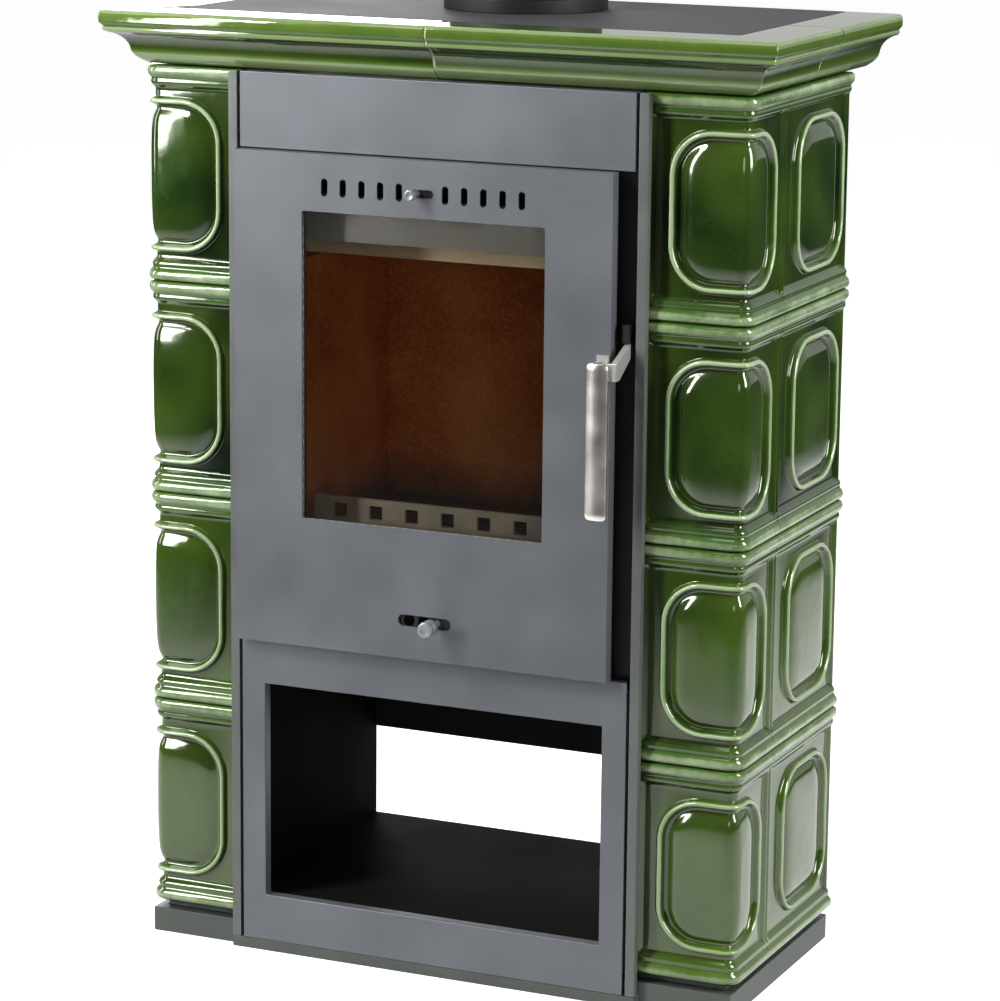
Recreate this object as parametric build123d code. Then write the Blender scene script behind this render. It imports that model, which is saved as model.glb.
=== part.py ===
from build123d import *
import os

# Tiled stove. Millimetres, +Z up, the front faces -Y.
# The origin is on the floor, under the middle of the tiled body.

os.makedirs("parts", exist_ok=True)

# ---- driving dimensions -------------------------------------------------

# tiled body
tile_rows = 4
tile_pitch = 220.0
tile_joint = 0.6
tile_wall = 14.0
tile_corner_radius = 7.0
body_half_width = 322.0
body_half_depth = 138.7
corner_return = 89.0

# relief on a tile, measured out from its plain field
rim_height = 17.0
rim_proud = 8.0
rim_rounding = 4.0
border_width = 8.0
border_proud = 3.5
ring_proud = 6.0
ring_band = 9.0
ring_margin = 22.0
ring_bottom = 28.0
ring_height = 160.0
ring_radius = 40.0
side_ring_front_margin = 34.0
side_ring_rear_margin = 14.0
cushion_gap = 3.5
cushion_proud = 3.0

# plinth
plinth_height = 34.0
plinth_face = 26.0
plinth_recess = 7.0
plinth_side_proud = 3.0
plinth_front_proud = 8.0
front_bar_height = 12.0

# cornice and top plate
cornice_overhang = 40.0
cornice_height = 55.0
cornice_ledge = 60.0
cornice_rear = 50.0
cornice_side_joint_y = 6.0
cornice_toe = 3.0
cornice_underside = (16.0, 8.0)
cornice_cove = ((22.5, 22.0), (34.0, 35.0))
cornice_bead_depth = 4.5
cornice_bead_foot = 38.5
cornice_bead_top = 42.5
cornice_lip = 2.0
cornice_shelf = 12.0
top_plate_thickness = 5.0
top_plate_rest = 12.0
top_plate_gap = 0.4
apron_lift = 14.0

# flue
flue_bore_radius = 75.0
flue_wall = 3.0
flue_rear_gap = 3.4
flue_rise = 43.0
flue_flange_lip = 6.0
flue_flange_height = 14.0
flue_hole_gap = 2.5

# steel front
steel = 2.5
carcass_sheet = 3.0
panel_half_width = 213.0
panel_proud = 17.5
panel_gap = 1.0
strip_width = 10.0
strip_gap = 3.0
strip_rim_gap = 0.5
strip_flange = 1.6
strip_tile_gap = 0.4
return_flange = 9.0
rear_setout = 33.3
rail_width = 25.0
log_panel_top = 334.5
header_bottom = 838.0

# log bay
log_opening_half_width = 187.0
log_opening_bottom = 61.0
log_opening_top = 287.5
log_lintel = 12.5
rear_opening_top = 158.0

# firebox
frame_setback = 10.2
mouth_left = -160.0
mouth_right = 142.0
mouth_sill = 18.0
mouth_head = 48.0
ash_opening_half_width = 140.0
ash_rise = 19.5
ash_opening_height = 48.0
shell_half_width = 199.0
shell_rear_gap = 23.0
smoke_rise = 28.0
brick_thickness = 27.5
brick_setback = 25.0
back_spacer = 23.5
ash_space = 58.0
brick_floor_thickness = 28.0
brick_head = 68.0
grate_half = 61.0
grate_frame = 6.0
grate_thickness = 12.0
grate_bars = 6
grate_bar_width = 9.0
retainer_half_width = 150.0
retainer_height = 43.0
retainer_thickness = 4.0
retainer_holes = 7
retainer_hole = 14.0
retainer_pitch = 40.0
baffle_thickness = 22.0
baffle_side_gap = 6.0
baffle_setback = 83.0
deflector_half_width = 155.0
deflector_drop = 44.0
deflector_depth = 15.0
pan_side_gap = 10.0
pan_front_gap = 5.0
pan_rear_reach = 5.0
pan_top_gap = 6.0
pan_sheet = 1.5

# door
door_proud = 12.8
door_sheet = 2.5
latch_gap = 17.5
door_depth = 14.0
door_flange = 3.0
window_centre_x = -6.0
window_width = 263.0
window_bottom = 468.0
window_radius = 2.0
glass_overlap = 9.0
glass_thickness = 4.0
gasket_thickness = 2.5
retainer_strip_width = 17.0
retainer_strip_sheet = 2.0
screw_radius = 2.0
screw_head_radius = 4.0
screw_head_height = 3.0
screw_end_distance = 30.0
rope_frame_left_margin = 24.0
rope_frame_right_margin = 26.0
rope_frame_bottom_gap = 1.5
rope_frame_top_gap = 3.0
rope_frame_band = 16.0
rope_width = 10.0
rope_clearance = 0.3

# vents and air slides in the door
vent_count = 5
vent_width = 7.0
vent_height = 18.0
vent_pitch = 20.4
vent_inner_offset = 24.9
vent_cover = 1.0
upper_slot_length = 24.0
upper_slot_height = 8.0
upper_knob_offset = 6.0
upper_slide_end = 9.0
lower_slot_left = -30.0
lower_slot_right = 28.0
lower_slot_height = 12.0
lower_slot_rise = 39.5
lower_knob_x = 13.0
lower_plate_half_width = 62.0
lower_slide_cover = 5.0
air_hole_pitch = 16.0
slide_sheet = 2.0
slide_gap = 0.3
guide_height = 3.0
guide_frame_gap = 0.2
guide_glass_gap = 2.2
guide_lip = 3.0
guide_sheet = 1.5
knob_shaft_radius = 3.5
upper_knob_reach = 9.0
upper_knob_radius = 5.5
upper_knob_length = 8.0
lower_knob_reach = 14.0
lower_knob_radius = 8.0
lower_knob_length = 16.0

# hinge
hinge_pin_radius = 2.4
hinge_pin_clearance = 0.05
hinge_eye_radius = 4.5
hinge_eye_gap = 0.5
hinge_eye_height = 10.0
hinge_notch_gap = 1.0
hinge_pin_length = 42.0
lower_hinge_rise = 100.5
upper_hinge_drop = 101.0
edge_bar_width = 13.0
edge_bar_depth = 11.0
tongue_offset = 1.0
tongue_width = 4.5
hinge_foot = 2.0

# handle
handle_overlap = 14.5
handle_width = 22.0
handle_length = 154.0
handle_top = 657.0
handle_back_reach = 22.0
handle_thickness = 6.0
handle_rounding = 2.5
pivot_drop = 8.0
pivot_reach = 14.0
pivot_pin_radius = 3.0
pivot_clearance = 0.05
lug_radius = 6.0
lug_width = 5.4
ear_gap = 0.3
ear_width = 3.5
hook_gap = 2.0
hook_thickness = 6.0
hook_front_thickness = 4.0
hook_drop = 17.0
hook_rise = 15.0
hook_end_gap = 9.5
catch_gap = 0.4
catch_height = 18.0
catch_depth = 14.0
catch_side_gap = 2.0

# ---- places worked out from them ----------------------------------------

tile_top = plinth_height + tile_rows * tile_pitch
tile_height = tile_pitch - tile_joint
front_field_y = -body_half_depth
carcass_half_width = panel_half_width + return_flange
carcass_rear_y = body_half_depth + rear_setout
strip_inner_x = panel_half_width + strip_gap
corner_inner_x = strip_inner_x + strip_flange + strip_tile_gap
corner_rear_y = front_field_y + corner_return
side_front_y = corner_rear_y + tile_joint
panel_y = front_field_y - panel_proud
frame_y = panel_y + frame_setback
frame_back_y = frame_y + carcass_sheet
flange_front_y = front_field_y + tile_wall + tile_joint
carcass_front_y = flange_front_y + carcass_sheet
carcass_inner_x = carcass_half_width - carcass_sheet
carcass_top = tile_top - tile_joint
strip_back_y = front_field_y - rim_proud - strip_rim_gap
cornice_bottom = tile_top
cornice_top = tile_top + cornice_height
plate_half_width = body_half_width + cornice_overhang - cornice_ledge - top_plate_gap
plate_front_y = front_field_y - cornice_overhang + cornice_ledge + top_plate_gap
plate_rear_y = body_half_depth + cornice_rear

log_floor_top = log_opening_bottom - steel
log_ceiling = log_opening_top + log_lintel
ash_shelf_top = log_panel_top + ash_rise
brick_shelf_top = ash_shelf_top + ash_space
brick_floor_top = brick_shelf_top + brick_floor_thickness
mouth_bottom = brick_shelf_top + mouth_sill
mouth_top = header_bottom - mouth_head
brick_top = mouth_top - brick_head
deflector_bottom = mouth_top - deflector_drop
shell_top = header_bottom + smoke_rise
shell_rear_y = carcass_rear_y - shell_rear_gap
shell_inner_x = shell_half_width - carcass_sheet
shell_inner_y = shell_rear_y - carcass_sheet
brick_inner_x = shell_inner_x - brick_thickness
brick_front_y = frame_back_y + brick_setback
brick_back_y = shell_inner_y - back_spacer - brick_thickness
baffle_half_width = shell_inner_x - baffle_side_gap
baffle_front_y = frame_back_y + baffle_setback
pan_half_width = ash_opening_half_width - pan_side_gap
pan_front_y = frame_back_y + pan_front_gap
pan_rear_y = brick_back_y + pan_rear_reach
pan_height = ash_opening_height - pan_top_gap
flue_centre_y = shell_inner_y - flue_bore_radius - flue_wall - flue_rear_gap
flue_flange_radius = flue_bore_radius + flue_wall + flue_flange_lip

door_left = -panel_half_width
door_right = panel_half_width - latch_gap
door_bottom = log_panel_top + panel_gap
door_top = header_bottom - panel_gap
door_y = panel_y - door_proud
door_inner_y = door_y + door_sheet
door_back_y = door_y + door_depth
rope_frame_left = mouth_left - rope_frame_left_margin
rope_frame_right = mouth_right + rope_frame_right_margin
rope_frame_bottom = door_bottom + rope_frame_bottom_gap
rope_frame_top = door_top - rope_frame_top_gap
upper_plate_height = vent_height + 2 * vent_cover
upper_plate_half_width = (vent_inner_offset + (vent_count - 1) * vent_pitch
                          + vent_width / 2 + upper_slide_end)
upper_guide_reach = upper_plate_height / 2 + slide_gap + guide_height
vent_z = rope_frame_top - rope_frame_band - guide_frame_gap - upper_guide_reach
upper_knob_x = window_centre_x - upper_knob_offset
lower_slot_z = door_bottom + lower_slot_rise
lower_plate_height = lower_slot_height + 2 * lower_slide_cover
window_left = window_centre_x - window_width / 2
window_right = window_centre_x + window_width / 2
window_top = vent_z - upper_guide_reach - guide_glass_gap - glass_overlap
gasket_back_y = door_inner_y + gasket_thickness
glass_back_y = gasket_back_y + glass_thickness
hinge_x = door_left + edge_bar_width / 2
hinge_y = door_inner_y + hinge_eye_gap + hinge_eye_radius
hinge_heights = (door_bottom + lower_hinge_rise, door_top - upper_hinge_drop)
handle_left = door_right - handle_overlap
handle_right = handle_left + handle_width
handle_bottom = handle_top - handle_length
pivot_y = door_y - pivot_reach
pivot_z = handle_top - pivot_drop
grip_back_y = door_y - handle_back_reach
grip_front_y = grip_back_y - handle_thickness
lug_x = (handle_left + door_right) / 2
hook_left = handle_right + hook_gap
hook_right = hook_left + hook_thickness
hook_bottom = handle_top - hook_drop
hook_step = handle_top
hook_tip = handle_top + hook_rise
hook_end_y = frame_y - hook_end_gap


# ---- helpers ------------------------------------------------------------

def block(x0, x1, y0, y1, z0, z1):
    """Box between two corners."""
    middle = Pos((x0 + x1) / 2, (y0 + y1) / 2, (z0 + z1) / 2)
    return middle * Box(x1 - x0, y1 - y0, z1 - z0)


def rod_z(radius, x, y, z0, z1):
    """Upright round bar."""
    return Pos(x, y, (z0 + z1) / 2) * Cylinder(radius, z1 - z0)


def rod_y(radius, x, y0, y1, z):
    """Round bar along Y."""
    return Pos(x, (y0 + y1) / 2, z) * Rot(90, 0, 0) * Cylinder(radius, y1 - y0)


def rod_x(radius, x0, x1, y, z):
    """Round bar along X."""
    return Pos((x0 + x1) / 2, y, z) * Rot(0, 90, 0) * Cylinder(radius, x1 - x0)


def slot_y(x0, x1, z, height, y0, y1):
    """Slot with round ends, along X, cut through in Y."""
    outline = SlotOverall(x1 - x0, height)
    sketch = Plane.XZ.offset(-y0) * Pos((x0 + x1) / 2, z) * outline
    return extrude(sketch, amount=-(y1 - y0))


def rounded_panel(x0, x1, z0, z1, radius, y0, y1):
    """Upright panel in XZ with rounded corners, from y0 back to y1."""
    outline = RectangleRounded(x1 - x0, z1 - z0, radius)
    sketch = Plane.XZ.offset(-y0) * Pos((x0 + x1) / 2, (z0 + z1) / 2) * outline
    return extrude(sketch, amount=-(y1 - y0))


def rounded_side_panel(y0, y1, z0, z1, radius, x0, x1):
    """Upright panel in YZ with rounded corners, from x0 out to x1."""
    outline = RectangleRounded(y1 - y0, z1 - z0, radius)
    sketch = Plane.YZ.offset(x0) * Pos((y0 + y1) / 2, (z0 + z1) / 2) * outline
    return extrude(sketch, amount=x1 - x0)


def mirrored(shape):
    """The same shape on the other side of the stove."""
    return mirror(shape, about=Plane.YZ)


def save(shape, name):
    """Write one sub-part."""
    export_step(shape, "parts/" + name + ".step")


# ---- tiles --------------------------------------------------------------

def corner_slab(proud, z0, z1):
    """L in plan: both faces of a corner tile, standing proud of the field."""
    outer = block(corner_inner_x, body_half_width + proud, front_field_y - proud, corner_rear_y, z0, z1)
    corner_edge = outer.edges().filter_by(Axis.Z).sort_by(Axis.X)[-2:].sort_by(Axis.Y)[0]
    outer = fillet(corner_edge, tile_corner_radius + proud)
    hollow_x = body_half_width - tile_wall
    hollow_y = front_field_y + tile_wall
    hollow = block(corner_inner_x, hollow_x, hollow_y, corner_rear_y, z0, z1)
    return outer - hollow


def corner_masks(inset):
    """Region of the ring, drawn in by inset, on the front and the return of a corner tile."""
    reach = ring_radius + rim_proud
    z0 = ring_bottom + inset
    z1 = ring_bottom + ring_height - inset
    radius = ring_radius - inset
    ring_left = corner_inner_x + ring_margin + inset
    ring_rear = corner_rear_y - ring_margin - inset
    front = rounded_panel(
        ring_left, body_half_width + reach, z0, z1, radius,
        front_field_y - rim_proud, front_field_y + tile_wall / 2)
    side = rounded_side_panel(
        front_field_y - reach, ring_rear, z0, z1, radius,
        body_half_width - tile_wall / 2, body_half_width + rim_proud)
    return front + side


def side_mask(inset):
    """Region of the ring, drawn in by inset, on a side tile."""
    return rounded_side_panel(
        side_front_y + side_ring_front_margin + inset,
        body_half_depth - side_ring_rear_margin - inset,
        ring_bottom + inset, ring_bottom + ring_height - inset, ring_radius - inset,
        body_half_width - tile_wall / 2, body_half_width + rim_proud)


def rounded_rim(slab):
    """Round the outer long edges of a rim."""
    long_edges = [
        edge for edge in slab.edges()
        if abs(edge.center().Z - edge.vertices()[0].Z) < 1e-6
        and (edge.center().X > body_half_width + rim_proud / 2
             or edge.center().Y < front_field_y - rim_proud / 2)
    ]
    return fillet(long_edges, rim_rounding)


def corner_tile():
    """Corner tile of the bottom row, right side: field, rims, borders, ring and cushion."""
    tile = corner_slab(0, 0, tile_height)
    tile += rounded_rim(corner_slab(rim_proud, 0, rim_height))
    tile += rounded_rim(corner_slab(rim_proud, tile_height - rim_height, tile_height))
    borders = corner_slab(border_proud, 0, tile_height)
    borders -= block(
        corner_inner_x + border_width, body_half_width + rim_proud,
        front_field_y - rim_proud, corner_rear_y - border_width, 0, tile_height)
    ring = (corner_slab(ring_proud, 0, tile_height) & corner_masks(0)) - corner_masks(ring_band)
    cushion = corner_slab(cushion_proud, 0, tile_height) & corner_masks(ring_band + cushion_gap)
    tile = tile + borders + ring + cushion
    return Pos(0, 0, plinth_height) * tile


def side_slab(proud, z0, z1):
    """Flat slab of a side tile, standing proud of the field."""
    return block(
        body_half_width - tile_wall, body_half_width + proud,
        side_front_y, body_half_depth, z0, z1)


def side_tile():
    """Side tile of the bottom row, right side."""
    tile = side_slab(0, 0, tile_height)
    tile += rounded_rim(side_slab(rim_proud, 0, rim_height))
    tile += rounded_rim(side_slab(rim_proud, tile_height - rim_height, tile_height))
    borders = side_slab(border_proud, 0, tile_height)
    borders -= block(
        0, body_half_width + rim_proud,
        side_front_y + border_width, body_half_depth - border_width, 0, tile_height)
    ring = (side_slab(ring_proud, 0, tile_height) & side_mask(0)) - side_mask(ring_band)
    cushion = side_slab(cushion_proud, 0, tile_height) & side_mask(ring_band + cushion_gap)
    tile = tile + borders + ring + cushion
    return Pos(0, 0, plinth_height) * tile


def make_tiles():
    corner = corner_tile()
    side = side_tile()
    for row in range(tile_rows):
        lift = Pos(0, 0, row * tile_pitch)
        number = str(row + 1)
        save(lift * corner, "right_corner_tile_" + number)
        save(lift * mirrored(corner), "left_corner_tile_" + number)
        save(lift * side, "right_side_tile_" + number)
        save(lift * mirrored(side), "left_side_tile_" + number)


# ---- plinth, cornice, top -----------------------------------------------

def base_plinth():
    """Low steel base, with a set-back band under the tiles and a bar under the front panel."""
    outer_x = body_half_width + plinth_side_proud
    front = front_field_y - plinth_front_proud
    plinth = block(-outer_x, outer_x, front, body_half_depth, 0, plinth_face)
    inner_x = body_half_width - plinth_recess
    band_front = front_field_y + plinth_recess
    plinth += block(
        -inner_x, inner_x, band_front, body_half_depth - plinth_recess, plinth_face, plinth_height)
    plinth += block(
        -carcass_half_width, carcass_half_width, body_half_depth - plinth_recess, carcass_rear_y,
        0, plinth_height)
    bar_x = strip_inner_x + strip_width
    plinth += block(-bar_x, bar_x, panel_y, front, 0, front_bar_height)
    return plinth


def cornice_profile():
    """Cornice section as (overhang from the tile face, height above the tiles)."""
    nose = cornice_overhang
    inner = cornice_overhang - cornice_ledge
    rest = inner - top_plate_rest
    seat = cornice_height - top_plate_thickness
    shelf = seat - cornice_shelf
    back = -tile_wall
    lower = Line((back, tile_joint), (cornice_toe, tile_joint))
    underside = Line(lower @ 1, cornice_underside)
    cove = ThreePointArc(underside @ 1, *cornice_cove)
    step = Line(cove @ 1, (nose - cornice_bead_depth, cornice_bead_foot))
    bead = Line(step @ 1, (nose, cornice_bead_top))
    face = Line(bead @ 1, (nose, cornice_height - cornice_lip))
    lip = Line(face @ 1, (nose - cornice_lip, cornice_height))
    ledge = Line(lip @ 1, (inner, cornice_height))
    rebate = Polyline((inner, cornice_height), (inner, seat), (rest, seat), (rest, shelf),
                      (back, shelf), (back, tile_joint))
    return make_face(Wire([lower, underside, cove, step, bead, face, lip, ledge] + rebate.edges()))


def cornice_run_x(x0, x1):
    """Front length of cornice; its outer end is cut on the mitre."""
    profile = cornice_profile()
    plane = Plane(origin=(x0, front_field_y, cornice_bottom), x_dir=(0, -1, 0), z_dir=(-1, 0, 0))
    return extrude(plane * profile, amount=-(x1 - x0))


def cornice_run_y(y0, y1):
    """Right-hand length of cornice along Y."""
    profile = cornice_profile()
    plane = Plane(origin=(body_half_width, y0, cornice_bottom), x_dir=(1, 0, 0), z_dir=(0, -1, 0))
    return extrude(plane * profile, amount=-(y1 - y0))


def mitre_wedge():
    """Everything in front of the mitre plane through the corner of the body."""
    reach = 2 * body_half_width
    corner = (body_half_width, front_field_y)
    points = [
        (corner[0] - reach, corner[1] + reach),
        (corner[0] + reach, corner[1] - reach),
        (corner[0] - reach, corner[1] - reach),
    ]
    outline = make_face(Polyline(*points, close=True))
    sketch = Plane.XY.offset(cornice_bottom - 1) * outline
    return extrude(sketch, amount=cornice_height + 2)


def cornice_front_piece():
    """Right corner piece: half of the front and the first part of the side, in one casting."""
    outer = body_half_width + cornice_overhang
    wedge = mitre_wedge()
    front = cornice_run_x(tile_joint / 2, outer) & wedge
    side = cornice_run_y(front_field_y - cornice_overhang, cornice_side_joint_y) - wedge
    return front + side


def cornice_side_piece():
    """Right rear length, which runs on past the tiles to the wall side."""
    return cornice_run_y(cornice_side_joint_y + tile_joint, plate_rear_y)


def top_plate():
    """Steel plate let into the cornice, with the flue hole, and an apron under its rear edge."""
    z1 = cornice_top
    plate = block(
        -plate_half_width, plate_half_width, plate_front_y, plate_rear_y,
        z1 - top_plate_thickness, z1)
    hole = flue_bore_radius + flue_wall + flue_hole_gap
    plate -= rod_z(hole, 0, flue_centre_y, z1 - top_plate_thickness, z1)
    apron_x = plate_half_width - top_plate_rest
    apron = block(
        -apron_x, apron_x, plate_rear_y - steel, plate_rear_y,
        cornice_bottom + apron_lift, z1 - top_plate_thickness)
    return Compound(children=[plate, apron])


def flue_collar():
    """Round outlet let into the firebox top, with a ring that seats on the top plate."""
    z0 = shell_top - carcass_sheet
    z1 = cornice_top + flue_rise
    outer = flue_bore_radius + flue_wall
    collar = rod_z(outer, 0, flue_centre_y, z0, z1)
    collar += rod_z(flue_flange_radius, 0, flue_centre_y, cornice_top, cornice_top + flue_flange_height)
    return collar - rod_z(flue_bore_radius, 0, flue_centre_y, z0, z1)


# ---- steel carcass and front --------------------------------------------

def side_returns(z0, z1, y0):
    """Folds that take a front sheet back to the carcass sides."""
    inner = panel_half_width - steel
    right = block(inner, panel_half_width, y0, carcass_front_y, z0, z1)
    right += block(panel_half_width, carcass_half_width, flange_front_y, carcass_front_y, z0, z1)
    return right + mirrored(right)


def header_panel():
    """Plain panel above the door."""
    z1 = carcass_top
    back = panel_y + steel
    panel = block(-panel_half_width, panel_half_width, panel_y, back, header_bottom, z1)
    inner = panel_half_width - steel
    panel += block(
        -panel_half_width, panel_half_width, back, flange_front_y - tile_joint, z1 - steel, z1)
    panel += block(
        -panel_half_width, panel_half_width, back, frame_y, header_bottom, header_bottom + steel)
    ends = block(inner, panel_half_width, back, frame_y, header_bottom, z1)
    return panel + ends + mirrored(ends)


def log_bay_front():
    """Lower front panel with the opening for logs."""
    back = panel_y + steel
    panel = block(
        -panel_half_width, panel_half_width, panel_y, back, front_bar_height, log_panel_top)
    panel += side_returns(plinth_height, log_panel_top - frame_setback, back)
    lip = block(
        -log_opening_half_width - steel, log_opening_half_width + steel,
        back, back + 4 * steel, log_opening_bottom - steel, log_opening_top + steel)
    opening = block(
        -log_opening_half_width, log_opening_half_width, panel_y, carcass_front_y,
        log_opening_bottom, log_opening_top)
    top_fold = block(
        -panel_half_width + steel, panel_half_width - steel, back, frame_y - tile_joint,
        log_panel_top - steel, log_panel_top)
    return panel + lip + top_fold - opening


def edge_strips():
    """Bright upright strips that cover the cut edges of the tiles."""
    z0 = front_bar_height
    z1 = carcass_top
    right = block(strip_inner_x, strip_inner_x + strip_width, panel_y, strip_back_y, z0, z1)
    right += block(
        strip_inner_x, strip_inner_x + strip_flange, strip_back_y, flange_front_y,
        plinth_height, z1)
    return Compound(children=[right, mirrored(right)])


def carcass_sides():
    """Side walls of the steel body."""
    right = block(
        carcass_inner_x, carcass_half_width, carcass_front_y, carcass_rear_y,
        plinth_height, carcass_top - carcass_sheet)
    return Compound(children=[right, mirrored(right)])


def carcass_back():
    """Rear wall, left open low down behind the log bay."""
    return block(
        -carcass_inner_x, carcass_inner_x, carcass_rear_y - carcass_sheet, carcass_rear_y,
        rear_opening_top, carcass_top - carcass_sheet)


def carcass_top_plate():
    """Top of the steel body, under the cornice."""
    half = body_half_width - tile_wall - tile_joint
    z0 = carcass_top - carcass_sheet
    plate = block(-half, half, flange_front_y, carcass_rear_y, z0, carcass_top)
    hole = flue_bore_radius + flue_wall + flue_hole_gap
    return plate - rod_z(hole, 0, flue_centre_y, z0, carcass_top)


def cross_sheet(z0, z1, front_y):
    """Level sheet across the body, narrower where it passes the front folds."""
    inner = panel_half_width - steel
    sheet = block(-carcass_inner_x, carcass_inner_x, carcass_front_y, carcass_rear_y - carcass_sheet, z0, z1)
    return sheet + block(-inner, inner, front_y, carcass_front_y, z0, z1)


def tile_rails():
    """Upright angles behind the tiles; one leg stands on the carcass side, the other backs the tiles."""
    bar_outer = body_half_width - tile_wall
    bar_inner = bar_outer - 2 * carcass_sheet
    z0 = plinth_height
    z1 = carcass_top - carcass_sheet
    rails = []
    for y0 in (carcass_front_y, body_half_depth - rail_width - carcass_sheet):
        rail = block(bar_inner, bar_outer, y0, y0 + rail_width, z0, z1)
        rail += block(carcass_half_width, bar_inner, y0, y0 + carcass_sheet, z0, z1)
        rails.append(rail)
        rails.append(mirrored(rail))
    return Compound(children=rails)


# ---- firebox ------------------------------------------------------------

def firebox_front_frame():
    """Black plate behind the door, with the fire mouth and the ash opening."""
    z0 = log_panel_top - frame_setback
    z1 = header_bottom + steel
    frame = block(-panel_half_width, panel_half_width, frame_y, frame_back_y, z0, z1)
    frame += side_returns(z0, z1, frame_back_y)
    frame -= block(mouth_left, mouth_right, frame_y, frame_back_y, mouth_bottom, mouth_top)
    frame -= block(
        -ash_opening_half_width, ash_opening_half_width, frame_y, frame_back_y,
        ash_shelf_top, ash_shelf_top + ash_opening_height)
    return frame


def firebox_shell():
    """Welded steel box: two sides, a back with spacers for the rear brick, and a top."""
    z0 = log_ceiling + carcass_sheet
    z1 = shell_top - carcass_sheet
    side = block(shell_inner_x, shell_half_width, frame_back_y, shell_rear_y, z0, z1)
    back = block(-shell_inner_x, shell_inner_x, shell_inner_y, shell_rear_y, z0, z1)
    spacer_x = brick_inner_x * 0.6
    for x in (-spacer_x, spacer_x):
        back += block(
            x - brick_thickness / 2, x + brick_thickness / 2,
            brick_back_y + brick_thickness, shell_inner_y, brick_shelf_top, brick_top)
    top = block(-shell_half_width, shell_half_width, frame_back_y, shell_rear_y, z1, shell_top)
    top -= rod_z(flue_bore_radius + flue_wall, 0, flue_centre_y, z1, shell_top)
    return Compound(children=[side, mirrored(side), back, top])


def firebox_shelves():
    """Two shelves across the shell: one under the ash pan, one under the bricks and grate."""
    ash = block(
        -shell_inner_x, shell_inner_x, frame_back_y, shell_inner_y,
        ash_shelf_top - carcass_sheet, ash_shelf_top)
    brick = block(
        -shell_inner_x, shell_inner_x, frame_back_y, shell_inner_y,
        brick_shelf_top - carcass_sheet, brick_shelf_top)
    drop = grate_half - grate_frame
    brick -= block(-drop, drop, -drop, drop, brick_shelf_top - carcass_sheet, brick_shelf_top)
    return Compound(children=[ash, brick])


def fire_bricks():
    """Lining bricks: two sides, back and a floor with a hole for the grate."""
    side = block(
        brick_inner_x, shell_inner_x, brick_front_y, brick_back_y + brick_thickness,
        brick_shelf_top, brick_top)
    back = block(
        -brick_inner_x, brick_inner_x, brick_back_y, brick_back_y + brick_thickness,
        brick_shelf_top, brick_top)
    floor = block(
        -brick_inner_x, brick_inner_x, brick_front_y, brick_back_y,
        brick_shelf_top, brick_floor_top)
    hole = grate_half + tile_joint
    floor -= block(-hole, hole, -hole, hole, brick_shelf_top, brick_floor_top)
    return Compound(children=[side, mirrored(side), back, floor])


def grate():
    """Cast grate in the floor: a frame and cross bars."""
    z1 = brick_floor_top
    inner = grate_half - grate_frame
    casting = block(-grate_half, grate_half, -grate_half, grate_half, brick_shelf_top, z1)
    casting -= block(-inner, inner, -inner, inner, brick_shelf_top, z1)
    step = 2 * inner / (grate_bars + 1)
    for index in range(grate_bars):
        y = -inner + step * (index + 1)
        casting += block(
            -inner, inner, y - grate_bar_width / 2, y + grate_bar_width / 2,
            z1 - grate_thickness, z1)
    return casting


def log_retainer():
    """Low guard along the front of the fire bed, with square air holes."""
    z0 = brick_floor_top
    y0 = brick_front_y
    guard = block(
        -retainer_half_width, retainer_half_width, y0, y0 + retainer_thickness,
        z0, z0 + retainer_height)
    hole_z = z0 + retainer_height - retainer_hole
    for index in range(retainer_holes):
        x = (index - (retainer_holes - 1) / 2) * retainer_pitch
        guard -= block(
            x - retainer_hole / 2, x + retainer_hole / 2, y0, y0 + retainer_thickness,
            hole_z - retainer_hole / 2, hole_z + retainer_hole / 2)
    foot = block(
        -retainer_half_width, retainer_half_width, y0 + retainer_thickness,
        y0 + 5 * retainer_thickness, z0, z0 + retainer_thickness)
    return guard + foot


def baffle():
    """Lining plate that lies on the side bricks and turns the flames to the front."""
    return block(
        -baffle_half_width, baffle_half_width, baffle_front_y, brick_back_y + brick_thickness,
        brick_top, brick_top + baffle_thickness)


def air_wash_deflector():
    """Folded strip above the fire mouth that sends air down the glass."""
    top = mouth_top + 2 * steel
    strip = block(
        -deflector_half_width, deflector_half_width, frame_back_y + deflector_depth - steel,
        frame_back_y + deflector_depth, deflector_bottom, top)
    return strip + block(
        -deflector_half_width, deflector_half_width, frame_back_y,
        frame_back_y + deflector_depth, top - steel, top)


def ash_pan():
    """Loose open tray under the grate, with a finger lip at its front."""
    z0 = ash_shelf_top
    z1 = z0 + pan_height
    pan = block(-pan_half_width, pan_half_width, pan_front_y, pan_rear_y, z0, z1)
    pan -= block(
        -pan_half_width + pan_sheet, pan_half_width - pan_sheet,
        pan_front_y + pan_sheet, pan_rear_y - pan_sheet, z0 + pan_sheet, z1)
    lip = pan_half_width / 3
    return pan + block(-lip, lip, frame_y, pan_front_y, z1 - 2 * pan_sheet, z1)


# ---- door ---------------------------------------------------------------

def hinge_cuts():
    """Notches for the hinge eyes and the bores that run on the pins."""
    cuts = []
    half_notch = hinge_eye_height / 2 + hinge_notch_gap
    bore = hinge_pin_radius + hinge_pin_clearance
    for z in hinge_heights:
        cuts.append(block(
            door_left, door_left + edge_bar_width, door_inner_y, door_inner_y + edge_bar_depth,
            z - half_notch, z + half_notch))
        cuts.append(rod_z(
            bore, hinge_x, hinge_y, z - hinge_pin_length / 2 - 1, z + hinge_pin_length / 2 + 1))
    return cuts


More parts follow.
